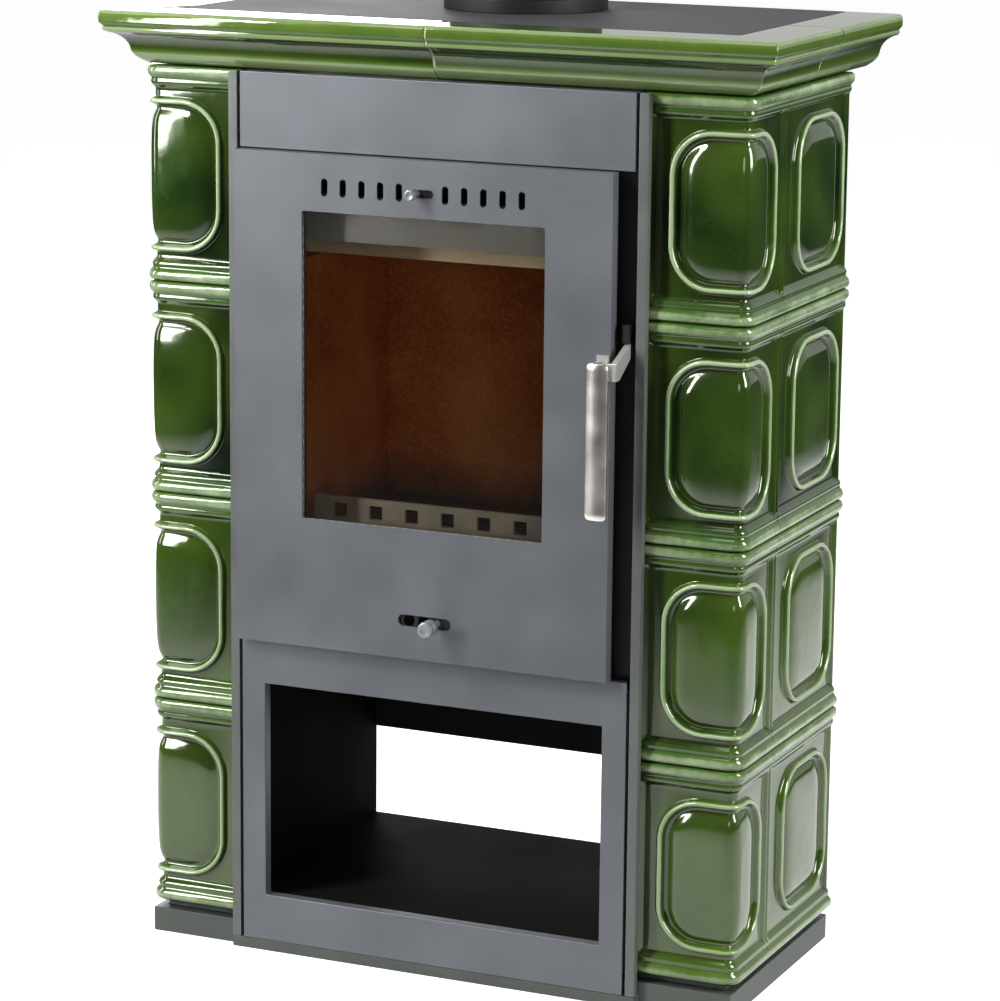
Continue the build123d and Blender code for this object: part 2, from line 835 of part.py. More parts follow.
def door_panel():
    """Folded door: face, folds round three edges and a solid bar on the hinge edge."""
    panel = block(door_left, door_right, door_y, door_inner_y, door_bottom, door_top)
    panel += block(
        door_left, door_left + edge_bar_width, door_inner_y, door_inner_y + edge_bar_depth,
        door_bottom, door_top)
    bar_right = door_left + edge_bar_width
    panel += block(
        door_right - door_flange, door_right, door_inner_y, door_back_y, door_bottom, door_top)
    for z0 in (door_bottom, door_top - door_flange):
        panel += block(bar_right, door_right, door_inner_y, door_back_y, z0, z0 + door_flange)
    panel -= rounded_panel(
        window_left, window_right, window_bottom, window_top, window_radius, door_y, door_inner_y)
    for side in (-1, 1):
        for index in range(vent_count):
            x = window_centre_x + side * (vent_inner_offset + index * vent_pitch)
            vent = SlotOverall(vent_height, vent_width, rotation=90)
            sketch = Plane.XZ.offset(-door_y) * Pos(x, vent_z) * vent
            panel -= extrude(sketch, amount=-door_sheet)
    half_slot = upper_slot_length / 2
    panel -= slot_y(
        window_centre_x - half_slot, window_centre_x + half_slot, vent_z, upper_slot_height,
        door_y, door_inner_y)
    panel -= slot_y(
        lower_slot_left, lower_slot_right, lower_slot_z, lower_slot_height, door_y, door_inner_y)
    for cut in hinge_cuts():
        panel -= cut
    return panel


def ring_block(inset, y0, y1):
    """Block inside the outline of the rope frame, drawn in by inset."""
    return block(
        rope_frame_left + inset, rope_frame_right - inset, y0, y1,
        rope_frame_bottom + inset, rope_frame_top - inset)


def door_rope_frame():
    """Welded bar frame on the back of the door that carries the rope seal."""
    lift = door_flange
    frame = ring_block(0, door_inner_y, door_back_y) - ring_block(rope_frame_band, door_inner_y, door_back_y)
    clear_bottom = block(
        door_left, door_right, door_inner_y, door_back_y, door_bottom, door_bottom + lift)
    clear_top = block(door_left, door_right, door_inner_y, door_back_y, door_top - lift, door_top)
    return frame - clear_bottom - clear_top


def door_rope_seal():
    """Rope seal between the door and the black plate."""
    margin = (rope_frame_band - rope_width) / 2
    y1 = frame_y - rope_clearance
    outer = ring_block(margin, door_back_y, y1)
    return outer - ring_block(margin + rope_width, door_back_y, y1)


def glass_blank(y0, y1):
    """Outline of the pane between two depths."""
    return block(
        window_left - glass_overlap, window_right + glass_overlap, y0, y1,
        window_bottom - glass_overlap, window_top + glass_overlap)


def glass_gasket():
    """Flat tape round the pane."""
    window = rounded_panel(
        window_left, window_right, window_bottom, window_top, window_radius,
        door_inner_y, gasket_back_y)
    return glass_blank(door_inner_y, gasket_back_y) - window


def retainer_screw_places():
    """Centres of the screws along both retaining strips."""
    reach = glass_overlap + retainer_strip_width / 4
    heights = (
        window_bottom + screw_end_distance, (window_bottom + window_top) / 2,
        window_top - screw_end_distance)
    places = []
    for x in (window_left - reach, window_right + reach):
        for z in heights:
            places.append((x, z))
    return places


def glass_retainers():
    """Stepped strips that hold the pane at both sides."""
    inner = glass_overlap - retainer_strip_width / 2
    outer = inner + retainer_strip_width
    back = glass_back_y + retainer_strip_sheet
    strips = []
    for edge, side in ((window_left, -1), (window_right, 1)):
        lip_x = sorted((edge + side * inner, edge + side * outer))
        foot_x = sorted((edge + side * glass_overlap, edge + side * outer))
        strip = block(*lip_x, glass_back_y, back, window_bottom, window_top)
        strip += block(*foot_x, door_inner_y, glass_back_y, window_bottom, window_top)
        for x, z in retainer_screw_places():
            strip -= rod_y(screw_radius, x, door_inner_y, back, z)
        strips.append(strip)
    return Compound(children=strips)


def glass_screws():
    """Round-head screws of the retaining strips."""
    back = glass_back_y + retainer_strip_sheet
    screws = []
    for x, z in retainer_screw_places():
        shank = rod_y(screw_radius, x, door_inner_y, back, z)
        screws.append(shank + rod_y(screw_head_radius, x, back, back + screw_head_height, z))
    return Compound(children=screws)


def slide_guide_pair(half_width, z, height):
    """Two hooked rails that hold a slide against the door."""
    lip_y = door_inner_y + 2 * slide_gap + slide_sheet
    rails = []
    for side in (-1, 1):
        edge = z + side * (height / 2 + slide_gap)
        rail_z = sorted((edge, edge + side * guide_height))
        lip_z = sorted((edge - side * guide_lip, edge + side * guide_height))
        rail = block(-half_width, half_width, door_inner_y, lip_y, *rail_z)
        rail += block(-half_width, half_width, lip_y, lip_y + guide_sheet, *lip_z)
        rails.append(Pos(window_centre_x, 0, 0) * rail)
    return rails


def slide_guides():
    """Rails of both air slides."""
    upper = slide_guide_pair(upper_plate_half_width, vent_z, upper_plate_height)
    lower = slide_guide_pair(lower_plate_half_width, lower_slot_z, lower_plate_height)
    return Compound(children=upper + lower)


def slide_blank(half_width, z, height):
    """Plain slide behind the door face."""
    y0 = door_inner_y + slide_gap
    return block(
        window_centre_x - half_width, window_centre_x + half_width, y0, y0 + slide_sheet,
        z - height / 2, z + height / 2)


def upper_air_slide():
    """Slide with the same row of slots as the door."""
    slide = slide_blank(upper_plate_half_width, vent_z, upper_plate_height)
    y0 = door_inner_y + slide_gap
    for side in (-1, 1):
        for index in range(vent_count):
            x = window_centre_x + side * (vent_inner_offset + index * vent_pitch)
            slide -= block(
                x - vent_width / 2, x + vent_width / 2, y0, y0 + slide_sheet,
                vent_z - vent_height / 2 + vent_cover, vent_z + vent_height / 2 - vent_cover)
    return slide - rod_y(knob_shaft_radius, upper_knob_x, y0, y0 + slide_sheet, vent_z)


def lower_air_slide():
    """Slide with two round air holes."""
    slide = slide_blank(lower_plate_half_width, lower_slot_z, lower_plate_height)
    y0 = door_inner_y + slide_gap
    for x in (lower_knob_x - air_hole_pitch, lower_knob_x - 2 * air_hole_pitch):
        slide -= rod_y(lower_slot_height / 2, x, y0, y0 + slide_sheet, lower_slot_z)
    return slide - rod_y(knob_shaft_radius, lower_knob_x, y0, y0 + slide_sheet, lower_slot_z)


def air_knob(x, z, reach, radius, length):
    """Turned knob on a short shaft through the door's slot."""
    seat = door_inner_y + slide_gap + slide_sheet
    neck = door_y - reach
    knob = rod_y(knob_shaft_radius, x, neck, seat, z)
    head = rod_y(radius, x, neck - length, neck, z)
    rims = head.edges().filter_by(GeomType.CIRCLE)
    return knob + fillet(rims, radius / 4)


# ---- hinge --------------------------------------------------------------

def hinge_brackets():
    """Two brackets on the black plate; their eyes reach into the door's notches."""
    brackets = []
    for z in hinge_heights:
        z0 = z - hinge_eye_height / 2
        z1 = z + hinge_eye_height / 2
        bracket = rod_z(hinge_eye_radius, hinge_x, hinge_y, z0, z1)
        tongue_x = hinge_x + tongue_offset
        bracket += block(tongue_x, tongue_x + tongue_width, hinge_y, frame_y, z0, z1)
        bracket += block(
            hinge_x - hinge_eye_radius / 2, hinge_x + 3 * hinge_eye_radius,
            frame_y - hinge_foot, frame_y, z0 - hinge_eye_radius, z1 + hinge_eye_radius)
        bracket -= rod_z(hinge_pin_radius, hinge_x, hinge_y, z0, z1)
        brackets.append(bracket)
    return Compound(children=brackets)


def hinge_pins():
    """Upright pins, tight in the bracket eyes and free in the door."""
    pins = []
    for z in hinge_heights:
        pins.append(rod_z(
            hinge_pin_radius, hinge_x, hinge_y, z - hinge_pin_length / 2, z + hinge_pin_length / 2))
    return Compound(children=pins)


# ---- handle -------------------------------------------------------------

def handle_bracket():
    """Clevis on the door face for the handle's cross pin."""
    ears = []
    inner = lug_width / 2 + ear_gap
    for side in (-1, 1):
        ear_x = sorted((lug_x + side * inner, lug_x + side * (inner + ear_width)))
        ear = block(*ear_x, pivot_y, door_y, pivot_z - lug_radius, pivot_z + lug_radius)
        ear += rod_x(lug_radius, *ear_x, pivot_y, pivot_z)
        ears.append(ear)
    foot_x = (lug_x - inner - ear_width, lug_x + inner + ear_width)
    foot = block(
        *foot_x, door_y - steel, door_y, pivot_z - 2 * lug_radius, pivot_z + 2 * lug_radius)
    bracket = foot + ears[0] + ears[1]
    return bracket - rod_x(pivot_pin_radius, *foot_x, pivot_y, pivot_z)


def handle_grip():
    """Flat bar grip with the lug that turns in the clevis."""
    bar = block(
        handle_left, handle_right, grip_front_y, grip_back_y, handle_bottom, handle_top)
    bar = fillet(bar.edges().filter_by(Axis.Z), handle_rounding)
    lug_edges = (lug_x - lug_width / 2, lug_x + lug_width / 2)
    lug = rod_x(lug_radius, *lug_edges, pivot_y, pivot_z)
    lug += block(*lug_edges, grip_back_y, pivot_y, pivot_z - lug_radius, pivot_z + lug_radius)
    return bar + lug - rod_x(pivot_pin_radius + pivot_clearance, *lug_edges, pivot_y, pivot_z)


def handle_pin():
    """Cross pin, tight in the clevis."""
    reach = lug_width / 2 + ear_gap + ear_width
    return rod_x(pivot_pin_radius, lug_x - reach, lug_x + reach, pivot_y, pivot_z)


def handle_hook():
    """Plate from the grip to the right and back past the door's edge, up to its nose."""
    front = block(
        handle_right - (hook_right - hook_left), hook_right, grip_back_y,
        grip_back_y + hook_front_thickness, hook_bottom, hook_step)
    outline = Polyline(
        (grip_back_y, hook_bottom), (grip_back_y, hook_step), (hook_end_y, hook_tip),
        (hook_end_y, hook_step), (grip_back_y + 2 * hook_front_thickness, hook_bottom), close=True)
    sketch = Plane.YZ.offset(hook_left) * make_face(outline)
    return front + extrude(sketch, amount=hook_right - hook_left)


def latch_catch():
    """Keeper on the black plate, just above the nose of the hook."""
    z0 = hook_tip + catch_gap
    return block(
        hook_left - catch_side_gap, hook_right, frame_y - catch_depth, frame_y,
        z0, z0 + catch_height)


# ---- write every sub-part -----------------------------------------------

make_tiles()
save(base_plinth(), "base_plinth")
front_piece = cornice_front_piece()
side_piece = cornice_side_piece()
save(front_piece, "cornice_front_right")
save(mirrored(front_piece), "cornice_front_left")
save(side_piece, "cornice_side_right")
save(mirrored(side_piece), "cornice_side_left")
save(top_plate(), "top_plate")
save(flue_collar(), "flue_collar")
save(header_panel(), "header_panel")
save(log_bay_front(), "log_bay_front")
save(edge_strips(), "edge_strips")
save(carcass_sides(), "carcass_sides")
save(carcass_back(), "carcass_back")
save(carcass_top_plate(), "carcass_top")
save(cross_sheet(log_floor_top - carcass_sheet, log_floor_top, panel_y + steel), "log_bay_floor")
save(cross_sheet(log_ceiling, log_ceiling + carcass_sheet, panel_y + steel), "firebox_floor_plate")
save(tile_rails(), "tile_rails")
save(firebox_front_frame(), "firebox_front_frame")
save(firebox_shell(), "firebox_shell")
save(firebox_shelves(), "firebox_shelves")
save(fire_bricks(), "fire_bricks")
save(grate(), "grate")
save(log_retainer(), "log_retainer")
save(baffle(), "baffle")
save(air_wash_deflector(), "air_wash_deflector")
save(ash_pan(), "ash_pan")
save(door_panel(), "door_panel")
save(door_rope_frame(), "door_rope_frame")
save(door_rope_seal(), "door_rope_seal")
save(glass_blank(gasket_back_y, glass_back_y), "door_glass")
save(glass_gasket(), "glass_gasket")
save(glass_retainers(), "glass_retainers")
save(glass_screws(), "glass_screws")
save(slide_guides(), "slide_guides")
save(upper_air_slide(), "upper_air_slide")
save(lower_air_slide(), "lower_air_slide")
save(air_knob(upper_knob_x, vent_z, upper_knob_reach, upper_knob_radius, upper_knob_length),
     "upper_air_knob")
save(air_knob(lower_knob_x, lower_slot_z, lower_knob_reach, lower_knob_radius, lower_knob_length),
     "lower_air_knob")
save(hinge_brackets(), "hinge_brackets")
save(hinge_pins(), "hinge_pins")
save(handle_bracket(), "handle_bracket")
save(handle_grip(), "handle_grip")
save(handle_pin(), "handle_pin")
save(handle_hook(), "handle_hook")
save(latch_catch(), "latch_catch")
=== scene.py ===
import math
import random

import bmesh
import bpy
from mathutils import Matrix, Vector


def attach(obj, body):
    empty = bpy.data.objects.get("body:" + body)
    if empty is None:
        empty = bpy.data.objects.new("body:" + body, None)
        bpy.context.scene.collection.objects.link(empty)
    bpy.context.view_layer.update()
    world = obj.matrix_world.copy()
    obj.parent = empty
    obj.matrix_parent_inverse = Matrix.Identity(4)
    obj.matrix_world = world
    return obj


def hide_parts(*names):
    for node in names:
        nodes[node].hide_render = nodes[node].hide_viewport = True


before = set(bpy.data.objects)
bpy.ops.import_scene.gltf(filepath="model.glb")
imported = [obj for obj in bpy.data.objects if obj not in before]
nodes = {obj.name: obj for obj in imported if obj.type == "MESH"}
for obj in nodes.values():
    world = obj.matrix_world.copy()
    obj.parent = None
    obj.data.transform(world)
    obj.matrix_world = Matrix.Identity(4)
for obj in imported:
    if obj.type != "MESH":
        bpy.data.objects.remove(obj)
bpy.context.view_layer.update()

mm = 0.001
# metres: points closer than this become one, and points this near to a plane lie on it
weld = 0.01 * mm
onPlane = 0.001 * mm
# sides of a turned bar
roundSteps = 40
random.seed(7)
bpy.context.scene.view_settings.view_transform = "Standard"


# camera where the photograph was taken from: metres and degrees
camera = {
    "place": (1.5662, -3.4992, 1.2922),
    "yaw": 24.042,
    "pitch": 12.143,
    "roll": 0.554,
    "lens": 136.62,
    "sensor": 36,
    "clip": (0.1, 60),
}


def makeCamera(c):
    yaw, pitch, roll = (math.radians(c[k]) for k in ("yaw", "pitch", "roll"))
    ahead = Vector((-math.sin(yaw) * math.cos(pitch), math.cos(yaw) * math.cos(pitch), -math.sin(pitch)))
    right = Vector((math.cos(yaw), math.sin(yaw), 0))
    up = right.cross(ahead)
    turnedRight = math.cos(roll) * right + math.sin(roll) * up
    turnedUp = math.cos(roll) * up - math.sin(roll) * right
    lens = bpy.data.cameras.new("photoCamera")
    lens.lens = c["lens"]
    lens.sensor_width = c["sensor"]
    lens.clip_start, lens.clip_end = c["clip"]
    holder = bpy.data.objects.new("photoCamera", lens)
    bpy.context.scene.collection.objects.link(holder)
    turn = Matrix((turnedRight, turnedUp, -ahead)).transposed().to_4x4()
    holder.matrix_world = Matrix.Translation(c["place"]) @ turn
    bpy.context.scene.camera = holder


makeCamera(camera)
print("camera ready")


# small tools used by every piece

def toLinear(hexText):
    channels = [int(hexText[i:i + 2], 16) / 255 for i in (1, 3, 5)]
    return [c / 12.92 if c <= 0.04045 else ((c + 0.055) / 1.055) ** 2.4 for c in channels] + [1.0]


def addNode(material, kind, settings=None, links=None):
    # settings go by property or input name, links are input name -> output socket
    node = material.node_tree.nodes.new(kind)
    for key, value in (settings or {}).items():
        if isinstance(key, str) and hasattr(node, key):
            setattr(node, key, value)
        else:
            node.inputs[key].default_value = value
    for key, socket in (links or {}).items():
        material.node_tree.links.new(socket, node.inputs[key])
    return node


def startMaterial(name):
    material = bpy.data.materials.new(name)
    material.use_nodes = True
    material.node_tree.nodes.clear()
    return material


def finishMaterial(material, shader):
    addNode(material, "ShaderNodeOutputMaterial", links={"Surface": shader.outputs[0]})
    return material


def rampBetween(material, factor, stops):
    # stops: (position, hex colour)
    ramp = addNode(material, "ShaderNodeValToRGB", links={"Fac": factor})
    elements = ramp.color_ramp.elements
    while len(elements) < len(stops):
        elements.new(0.5)
    for element, (position, color) in zip(elements, stops):
        element.position = position
        element.color = toLinear(color)
    return ramp.outputs["Color"]


def mixColor(material, share, color, otherColor):
    # share of a second colour, given as hex, over the first
    settings = {"data_type": "RGBA", 7: toLinear(otherColor)}
    return addNode(material, "ShaderNodeMix", settings, {0: share, 6: color}).outputs[2]


def scaledSum(material, value, factor, base):
    # value * factor + base
    settings = {"operation": "MULTIPLY_ADD", 1: factor}
    return addNode(material, "ShaderNodeMath", settings, {0: value, 2: base}).outputs[0]


def larger(material, one, other):
    return addNode(material, "ShaderNodeMath", {"operation": "MAXIMUM"}, {0: one, 1: other}).outputs[0]


def mirroredRay(material, path):
    # one for light that a gloss or the glass hands on
    return larger(material, path.outputs["Is Glossy Ray"], path.outputs["Is Transmission Ray"])


def bumpFrom(material, height, strength, distance):
    # distance in metres
    settings = {"Strength": strength, "Distance": distance}
    return addNode(material, "ShaderNodeBump", settings, {"Height": height}).outputs[0]


def deselectAll():
    bpy.ops.object.select_all(action="DESELECT")


def useOnly(piece):
    deselectAll()
    piece.select_set(True)
    bpy.context.view_layer.objects.active = piece


def pickFaces(piece, test):
    # edit mode: selects the faces whose centre and normal pass the test
    mesh = bmesh.from_edit_mesh(piece.data)
    bpy.ops.mesh.select_mode(type="FACE")
    bpy.ops.mesh.select_all(action="DESELECT")
    for face in mesh.faces:
        face.select_set(test(face.calc_center_median(), face.normal))
    mesh.select_flush_mode()
    bmesh.update_edit_mesh(piece.data)


def pickVerts(piece, test):
    mesh = bmesh.from_edit_mesh(piece.data)
    bpy.ops.mesh.select_mode(type="VERT")
    bpy.ops.mesh.select_all(action="DESELECT")
    for vert in mesh.verts:
        vert.select_set(test(vert.co))
    mesh.select_flush_mode()
    bmesh.update_edit_mesh(piece.data)


def moveVerts(piece, place):
    for vert in piece.data.vertices:
        vert.co = place(vert.co)


def shadeByAngle(piece, degrees):
    useOnly(piece)
    bpy.ops.object.shade_smooth_by_angle(angle=math.radians(degrees))


def flatNormals(piece):
    # the large faces set the shading, so that flat sheet stays flat beside its rounded edges
    useOnly(piece)
    weigh = piece.modifiers.new("flatNormals", "WEIGHTED_NORMAL")
    weigh.keep_sharp = True
    weigh.weight = 100
    bpy.ops.object.modifier_apply(modifier="flatNormals")


def outwardNormals(piece):
    useOnly(piece)
    bpy.ops.object.mode_set(mode="EDIT")
    bpy.ops.mesh.select_all(action="SELECT")
    bpy.ops.mesh.remove_doubles(threshold=2 * weld)
    bpy.ops.mesh.normals_make_consistent(inside=False)
    bpy.ops.object.mode_set(mode="OBJECT")


def copyOf(piece, name):
    other = piece.copy()
    other.data = piece.data.copy()
    other.name = name
    bpy.context.scene.collection.objects.link(other)
    return other


def mirrorAcross(piece):
    # to the other side of the stove
    piece.data.transform(Matrix.Diagonal((-1, 1, 1, 1)))
    piece.data.flip_normals()


def roundSharpEdges(piece, width, segments, degrees):
    # rounds every edge that folds by more than the angle
    useOnly(piece)
    bevel = piece.modifiers.new("roundedEdges", "BEVEL")
    bevel.width = width * mm
    bevel.segments = segments
    bevel.limit_method = "ANGLE"
    bevel.angle_limit = math.radians(degrees)
    bpy.ops.object.modifier_apply(modifier="roundedEdges")


def dress(piece, material, body, replaced=()):
    piece.data.materials.clear()
    piece.data.materials.append(material)
    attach(piece, body)
    if replaced:
        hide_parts(*replaced)


def readProfile(points, distance):
    # height over the field at a distance from the edge, straight between the points
    previous = points[0]
    for point in points[1:]:
        if distance <= point[0]:
            share = (distance - previous[0]) / (point[0] - previous[0])
            return previous[1] + share * (point[1] - previous[1])
        previous = point
    return previous[1]


# glazed tiles: one corner tile and one side tile, then copies; millimetres

tiles = {
    "rows": 4,
    "pitch": 220.0,
    "height": 219.4,
    "firstBottom": 34.0,
    "wall": 14.0,
    "cornerLeft": 218.0,
    "faceX": 322.0,
    "faceY": -138.7,
    "cornerRadius": 10.0,
    "cornerReturn": 89.0,
    "sideFront": -49.1,
    "sideRear": 138.7,
    "ringBottom": 28.0,
    "ringHeight": 160.0,
    "ringRadius": 46.0,
    "cornerRingMargins": (22.0, 22.0),
    "sideRingMargins": (34.0, 14.0),
    "arcSteps": 8,
    "ringArcSteps": 10,
    "smoothAngle": 50,
    # (distance from the edge, height over the field)
    "rim": ((0, 4.2), (0.8, 5.9), (2.2, 7.2), (4.2, 7.9), (7.0, 8.0), (9.6, 7.1), (11.6, 5.3), (12.8, 4.3),
            (14.0, 4.1), (15.4, 4.6), (17.2, 4.9), (19.2, 4.1), (21.0, 2.4), (22.6, 0.8), (24.0, 0.0), (26.0, 0.0)),
    "border": ((0, 1.4), (0.8, 2.6), (2.0, 3.3), (3.6, 3.5), (5.4, 3.0), (7.0, 1.6), (8.4, 0.4), (9.6, 0.0),
               (11.2, 0.0)),
    "ring": ((0, 0), (0.6, 0.1), (1.4, 1.4), (2.4, 3.6), (3.4, 5.2), (4.6, 6.0), (5.8, 6.0), (6.8, 5.2), (7.8, 3.6),
             (8.6, 1.8), (9.4, 0.4), (10.4, -0.7), (11.8, -1.2), (13.4, -0.9), (15.6, 0.2), (18.2, 1.5), (21.2, 2.6),
             (24.6, 3.4), (28.6, 3.95), (34.0, 4.4), (41.0, 4.75)),
    "dome": ((6.0, 0.2), (7.0, 0.15), (9.0, 0.1)),
    "glazeBlend": 5.0,
    # how far the glaze runs off the cushion, the bead round it and the rims, which also sets the painted highlight on
    # their crests and the painted shade in the groove
    "cushionRunAndLight": 0.45,
    "beadRunAndLight": 1.3,
    "rimRunAndLight": 0.75,
    # tone of each row's tiles, from the bottom row up: warmer and paler low down, darker higher up
    "rowTones": (0.8, 0.7, 0.3, 0.15),
    "toneSpread": 0.12,
}


def roundedPlate(left, right, bottom, top, radius, steps):
    # upright plate facing -Y with round corners, still one face
    deselectAll()
    bpy.ops.mesh.primitive_plane_add(size=1)
    plate = bpy.context.object
    corners = {(-1, -1): (left, bottom), (1, -1): (right, bottom), (-1, 1): (left, top), (1, 1): (right, top)}
    for vert in plate.data.vertices:
        s, z = corners[(1 if vert.co.x > 0 else -1, 1 if vert.co.y > 0 else -1)]
        vert.co = (s * mm, 0, z * mm)
    useOnly(plate)
    bpy.ops.object.mode_set(mode="EDIT")
    bpy.ops.mesh.select_all(action="SELECT")
    bpy.ops.mesh.bevel(offset=radius * mm, segments=steps, profile=0.5, affect="VERTICES")
    bpy.ops.object.mode_set(mode="OBJECT")
    return plate


def sinkFace(points):
    # edit mode: insets the selected face step by step along a profile
    for (fromEdge, low), (nextEdge, high) in zip(points, points[1:]):
        bpy.ops.mesh.inset(thickness=(nextEdge - fromEdge) * mm, depth=(high - low) * mm, use_even_offset=True)


def makeRing(t, left, right):
    # bead, groove and domed cushion inside a rounded outline
    bottom, top, radius = t["ringBottom"], t["ringBottom"] + t["ringHeight"], t["ringRadius"]
    ring = roundedPlate(left, right, bottom, top, radius, t["ringArcSteps"])
    useOnly(ring)
    bpy.ops.object.mode_set(mode="EDIT")
    bpy.ops.mesh.select_mode(type="FACE")
    bpy.ops.mesh.select_all(action="SELECT")
    if sum(face.normal.y for face in bmesh.from_edit_mesh(ring.data).faces) > 0:
        bpy.ops.mesh.flip_normals()
    sinkFace(t["ring"])
    # each small corner arc becomes one point, so that the dome can go on inwards; the search goes a fifth beyond it
    reach = t["ring"][-1][0]
    small = (radius - reach) * mm * 1.2
    for s in (left + radius, right - radius):
        for z in (bottom + radius, top - radius):
            pickVerts(ring, lambda co: abs(co.x - s * mm) < small and abs(co.z - z * mm) < small)
            bpy.ops.mesh.merge(type="CENTER")
    # only the middle face has its centre this near to the ring's
    near = (reach - 0.5) * mm / 8
    pickFaces(ring, lambda c, n: abs(c.x - (left + right) / 2 * mm) < near
              and abs(c.z - (bottom + top) / 2 * mm) < near)
    for thickness, depth in t["dome"]:
        bpy.ops.mesh.inset(thickness=thickness * mm, depth=depth * mm, use_even_offset=True)
    bpy.ops.object.mode_set(mode="OBJECT")
    return ring


def makeFrameOfTile(t, width):
    # rims at the top and bottom, borders at the sides, the field left open round the ring
    edge = [p[0] for p in t["border"]]
    columns = edge + [width - e for e in reversed(edge)]
    edge = [p[0] for p in t["rim"]]
    rows = edge + [t["height"] - e for e in reversed(edge)]
    deselectAll()
    bpy.ops.mesh.primitive_grid_add(x_subdivisions=len(columns) - 1, y_subdivisions=len(rows) - 1, size=2)
    panel = bpy.context.object
    power = t["glazeBlend"]
    for vert in panel.data.vertices:
        s = columns[round((vert.co.x + 1) / 2 * (len(columns) - 1))]
        z = rows[round((vert.co.y + 1) / 2 * (len(rows) - 1))]
        rim = readProfile(t["rim"], min(z, t["height"] - z))
        border = readProfile(t["border"], min(s, width - s))
        height = (rim ** power + border ** power) ** (1 / power)
        vert.co = (s * mm, -height * mm, z * mm)
    useOnly(panel)
    bpy.ops.object.mode_set(mode="EDIT")
    pickFaces(panel, lambda c, n: abs(c.x - width / 2 * mm) < mm and abs(c.z - t["height"] / 2 * mm) < mm)
    bpy.ops.mesh.delete(type="FACE")
    bpy.ops.mesh.select_all(action="SELECT")
    bpy.ops.mesh.normals_make_consistent(inside=False)
    if sum(face.normal.y for face in bmesh.from_edit_mesh(panel.data).faces) > 0:
        bpy.ops.mesh.flip_normals()
    bpy.ops.object.mode_set(mode="OBJECT")
    return panel


def insideRound(s, z, halfWidth, halfHeight, radius):
    # whether a point is inside a rectangle with round corners
    over = max(abs(s) - halfWidth + radius, 0), max(abs(z) - halfHeight + radius, 0)
    return abs(s) < halfWidth and abs(z) < halfHeight and math.hypot(*over) < radius


def makeFlatTile(t, name, width, margins, cuts):
    panel = makeFrameOfTile(t, width)
    ring = makeRing(t, margins[0], width - margins[1])
    deselectAll()
    ring.select_set(True)
    panel.select_set(True)
    bpy.context.view_layer.objects.active = panel
    bpy.ops.object.join()
    panel.name = name
    bpy.ops.object.mode_set(mode="EDIT")
    # the open field between the border and the ring
    height, edgeS, edgeZ = t["height"], t["border"][-1][0], t["rim"][-1][0]
    mesh = bmesh.from_edit_mesh(panel.data)
    bpy.ops.mesh.select_mode(type="EDGE")
    bpy.ops.mesh.select_all(action="DESELECT")
    for edge in mesh.edges:
        middle = (edge.verts[0].co + edge.verts[1].co) / 2
        within = edgeS * mm - onPlane < middle.x < (width - edgeS) * mm + onPlane
        between = edgeZ * mm - onPlane < middle.z < (height - edgeZ) * mm + onPlane
        edge.select_set(edge.is_boundary and within and between)
    bmesh.update_edit_mesh(panel.data)
    bpy.ops.mesh.fill(use_beauty=True)
    # the outer edge goes straight back and is closed behind
    bpy.ops.mesh.select_mode(type="EDGE")
    bpy.ops.mesh.select_all(action="DESELECT")
    bpy.ops.mesh.select_non_manifold(extend=False, use_boundary=True, use_wire=False, use_multi_face=False,
                                     use_non_contiguous=False, use_verts=False)
    bpy.ops.mesh.extrude_edges_move(TRANSFORM_OT_translate={"value": (0, t["wall"] * mm, 0)})
    mesh = bmesh.from_edit_mesh(panel.data)
    for vert in mesh.verts:
        if vert.select:
            vert.co.y = t["wall"] * mm
    bmesh.update_edit_mesh(panel.data)
    bpy.ops.mesh.edge_face_add()
    for s in cuts:
        bpy.ops.mesh.select_all(action="SELECT")
        bpy.ops.mesh.bisect(plane_co=(s * mm, 0, 0), plane_no=(1, 0, 0), clear_inner=False, clear_outer=False)
    bpy.ops.mesh.select_all(action="SELECT")
    bpy.ops.mesh.remove_doubles(threshold=weld)
    bpy.ops.mesh.normals_make_consistent(inside=False)
    bpy.ops.object.mode_set(mode="OBJECT")
    # how far the glaze stands over the field: it runs off there and pools below; the same value paints highlights on
    # the crests and shade in the hollows
    relief = panel.data.attributes.new("relief", "FLOAT", "POINT")
    top = max(p[1] for p in t["rim"])
    halfWidth, halfHeight = (width - sum(margins)) / 2, t["ringHeight"] / 2
    groove = next(p[0] for p in t["ring"] if p[1] < 0)
    for vert, value in zip(panel.data.vertices, relief.data):
        s, z = vert.co.x / mm - margins[0] - halfWidth, vert.co.z / mm - t["ringBottom"] - halfHeight
        onRing = insideRound(s, z, halfWidth, halfHeight, t["ringRadius"])
        onCushion = insideRound(s, z, halfWidth - groove, halfHeight - groove, t["ringRadius"] - groove)
        runAndLight = t["cushionRunAndLight"] if onCushion else t["beadRunAndLight"] if onRing else t["rimRunAndLight"]
        value.value = min(max(-vert.co.y / mm / top, -0.2) * runAndLight, 1.2)
    return panel


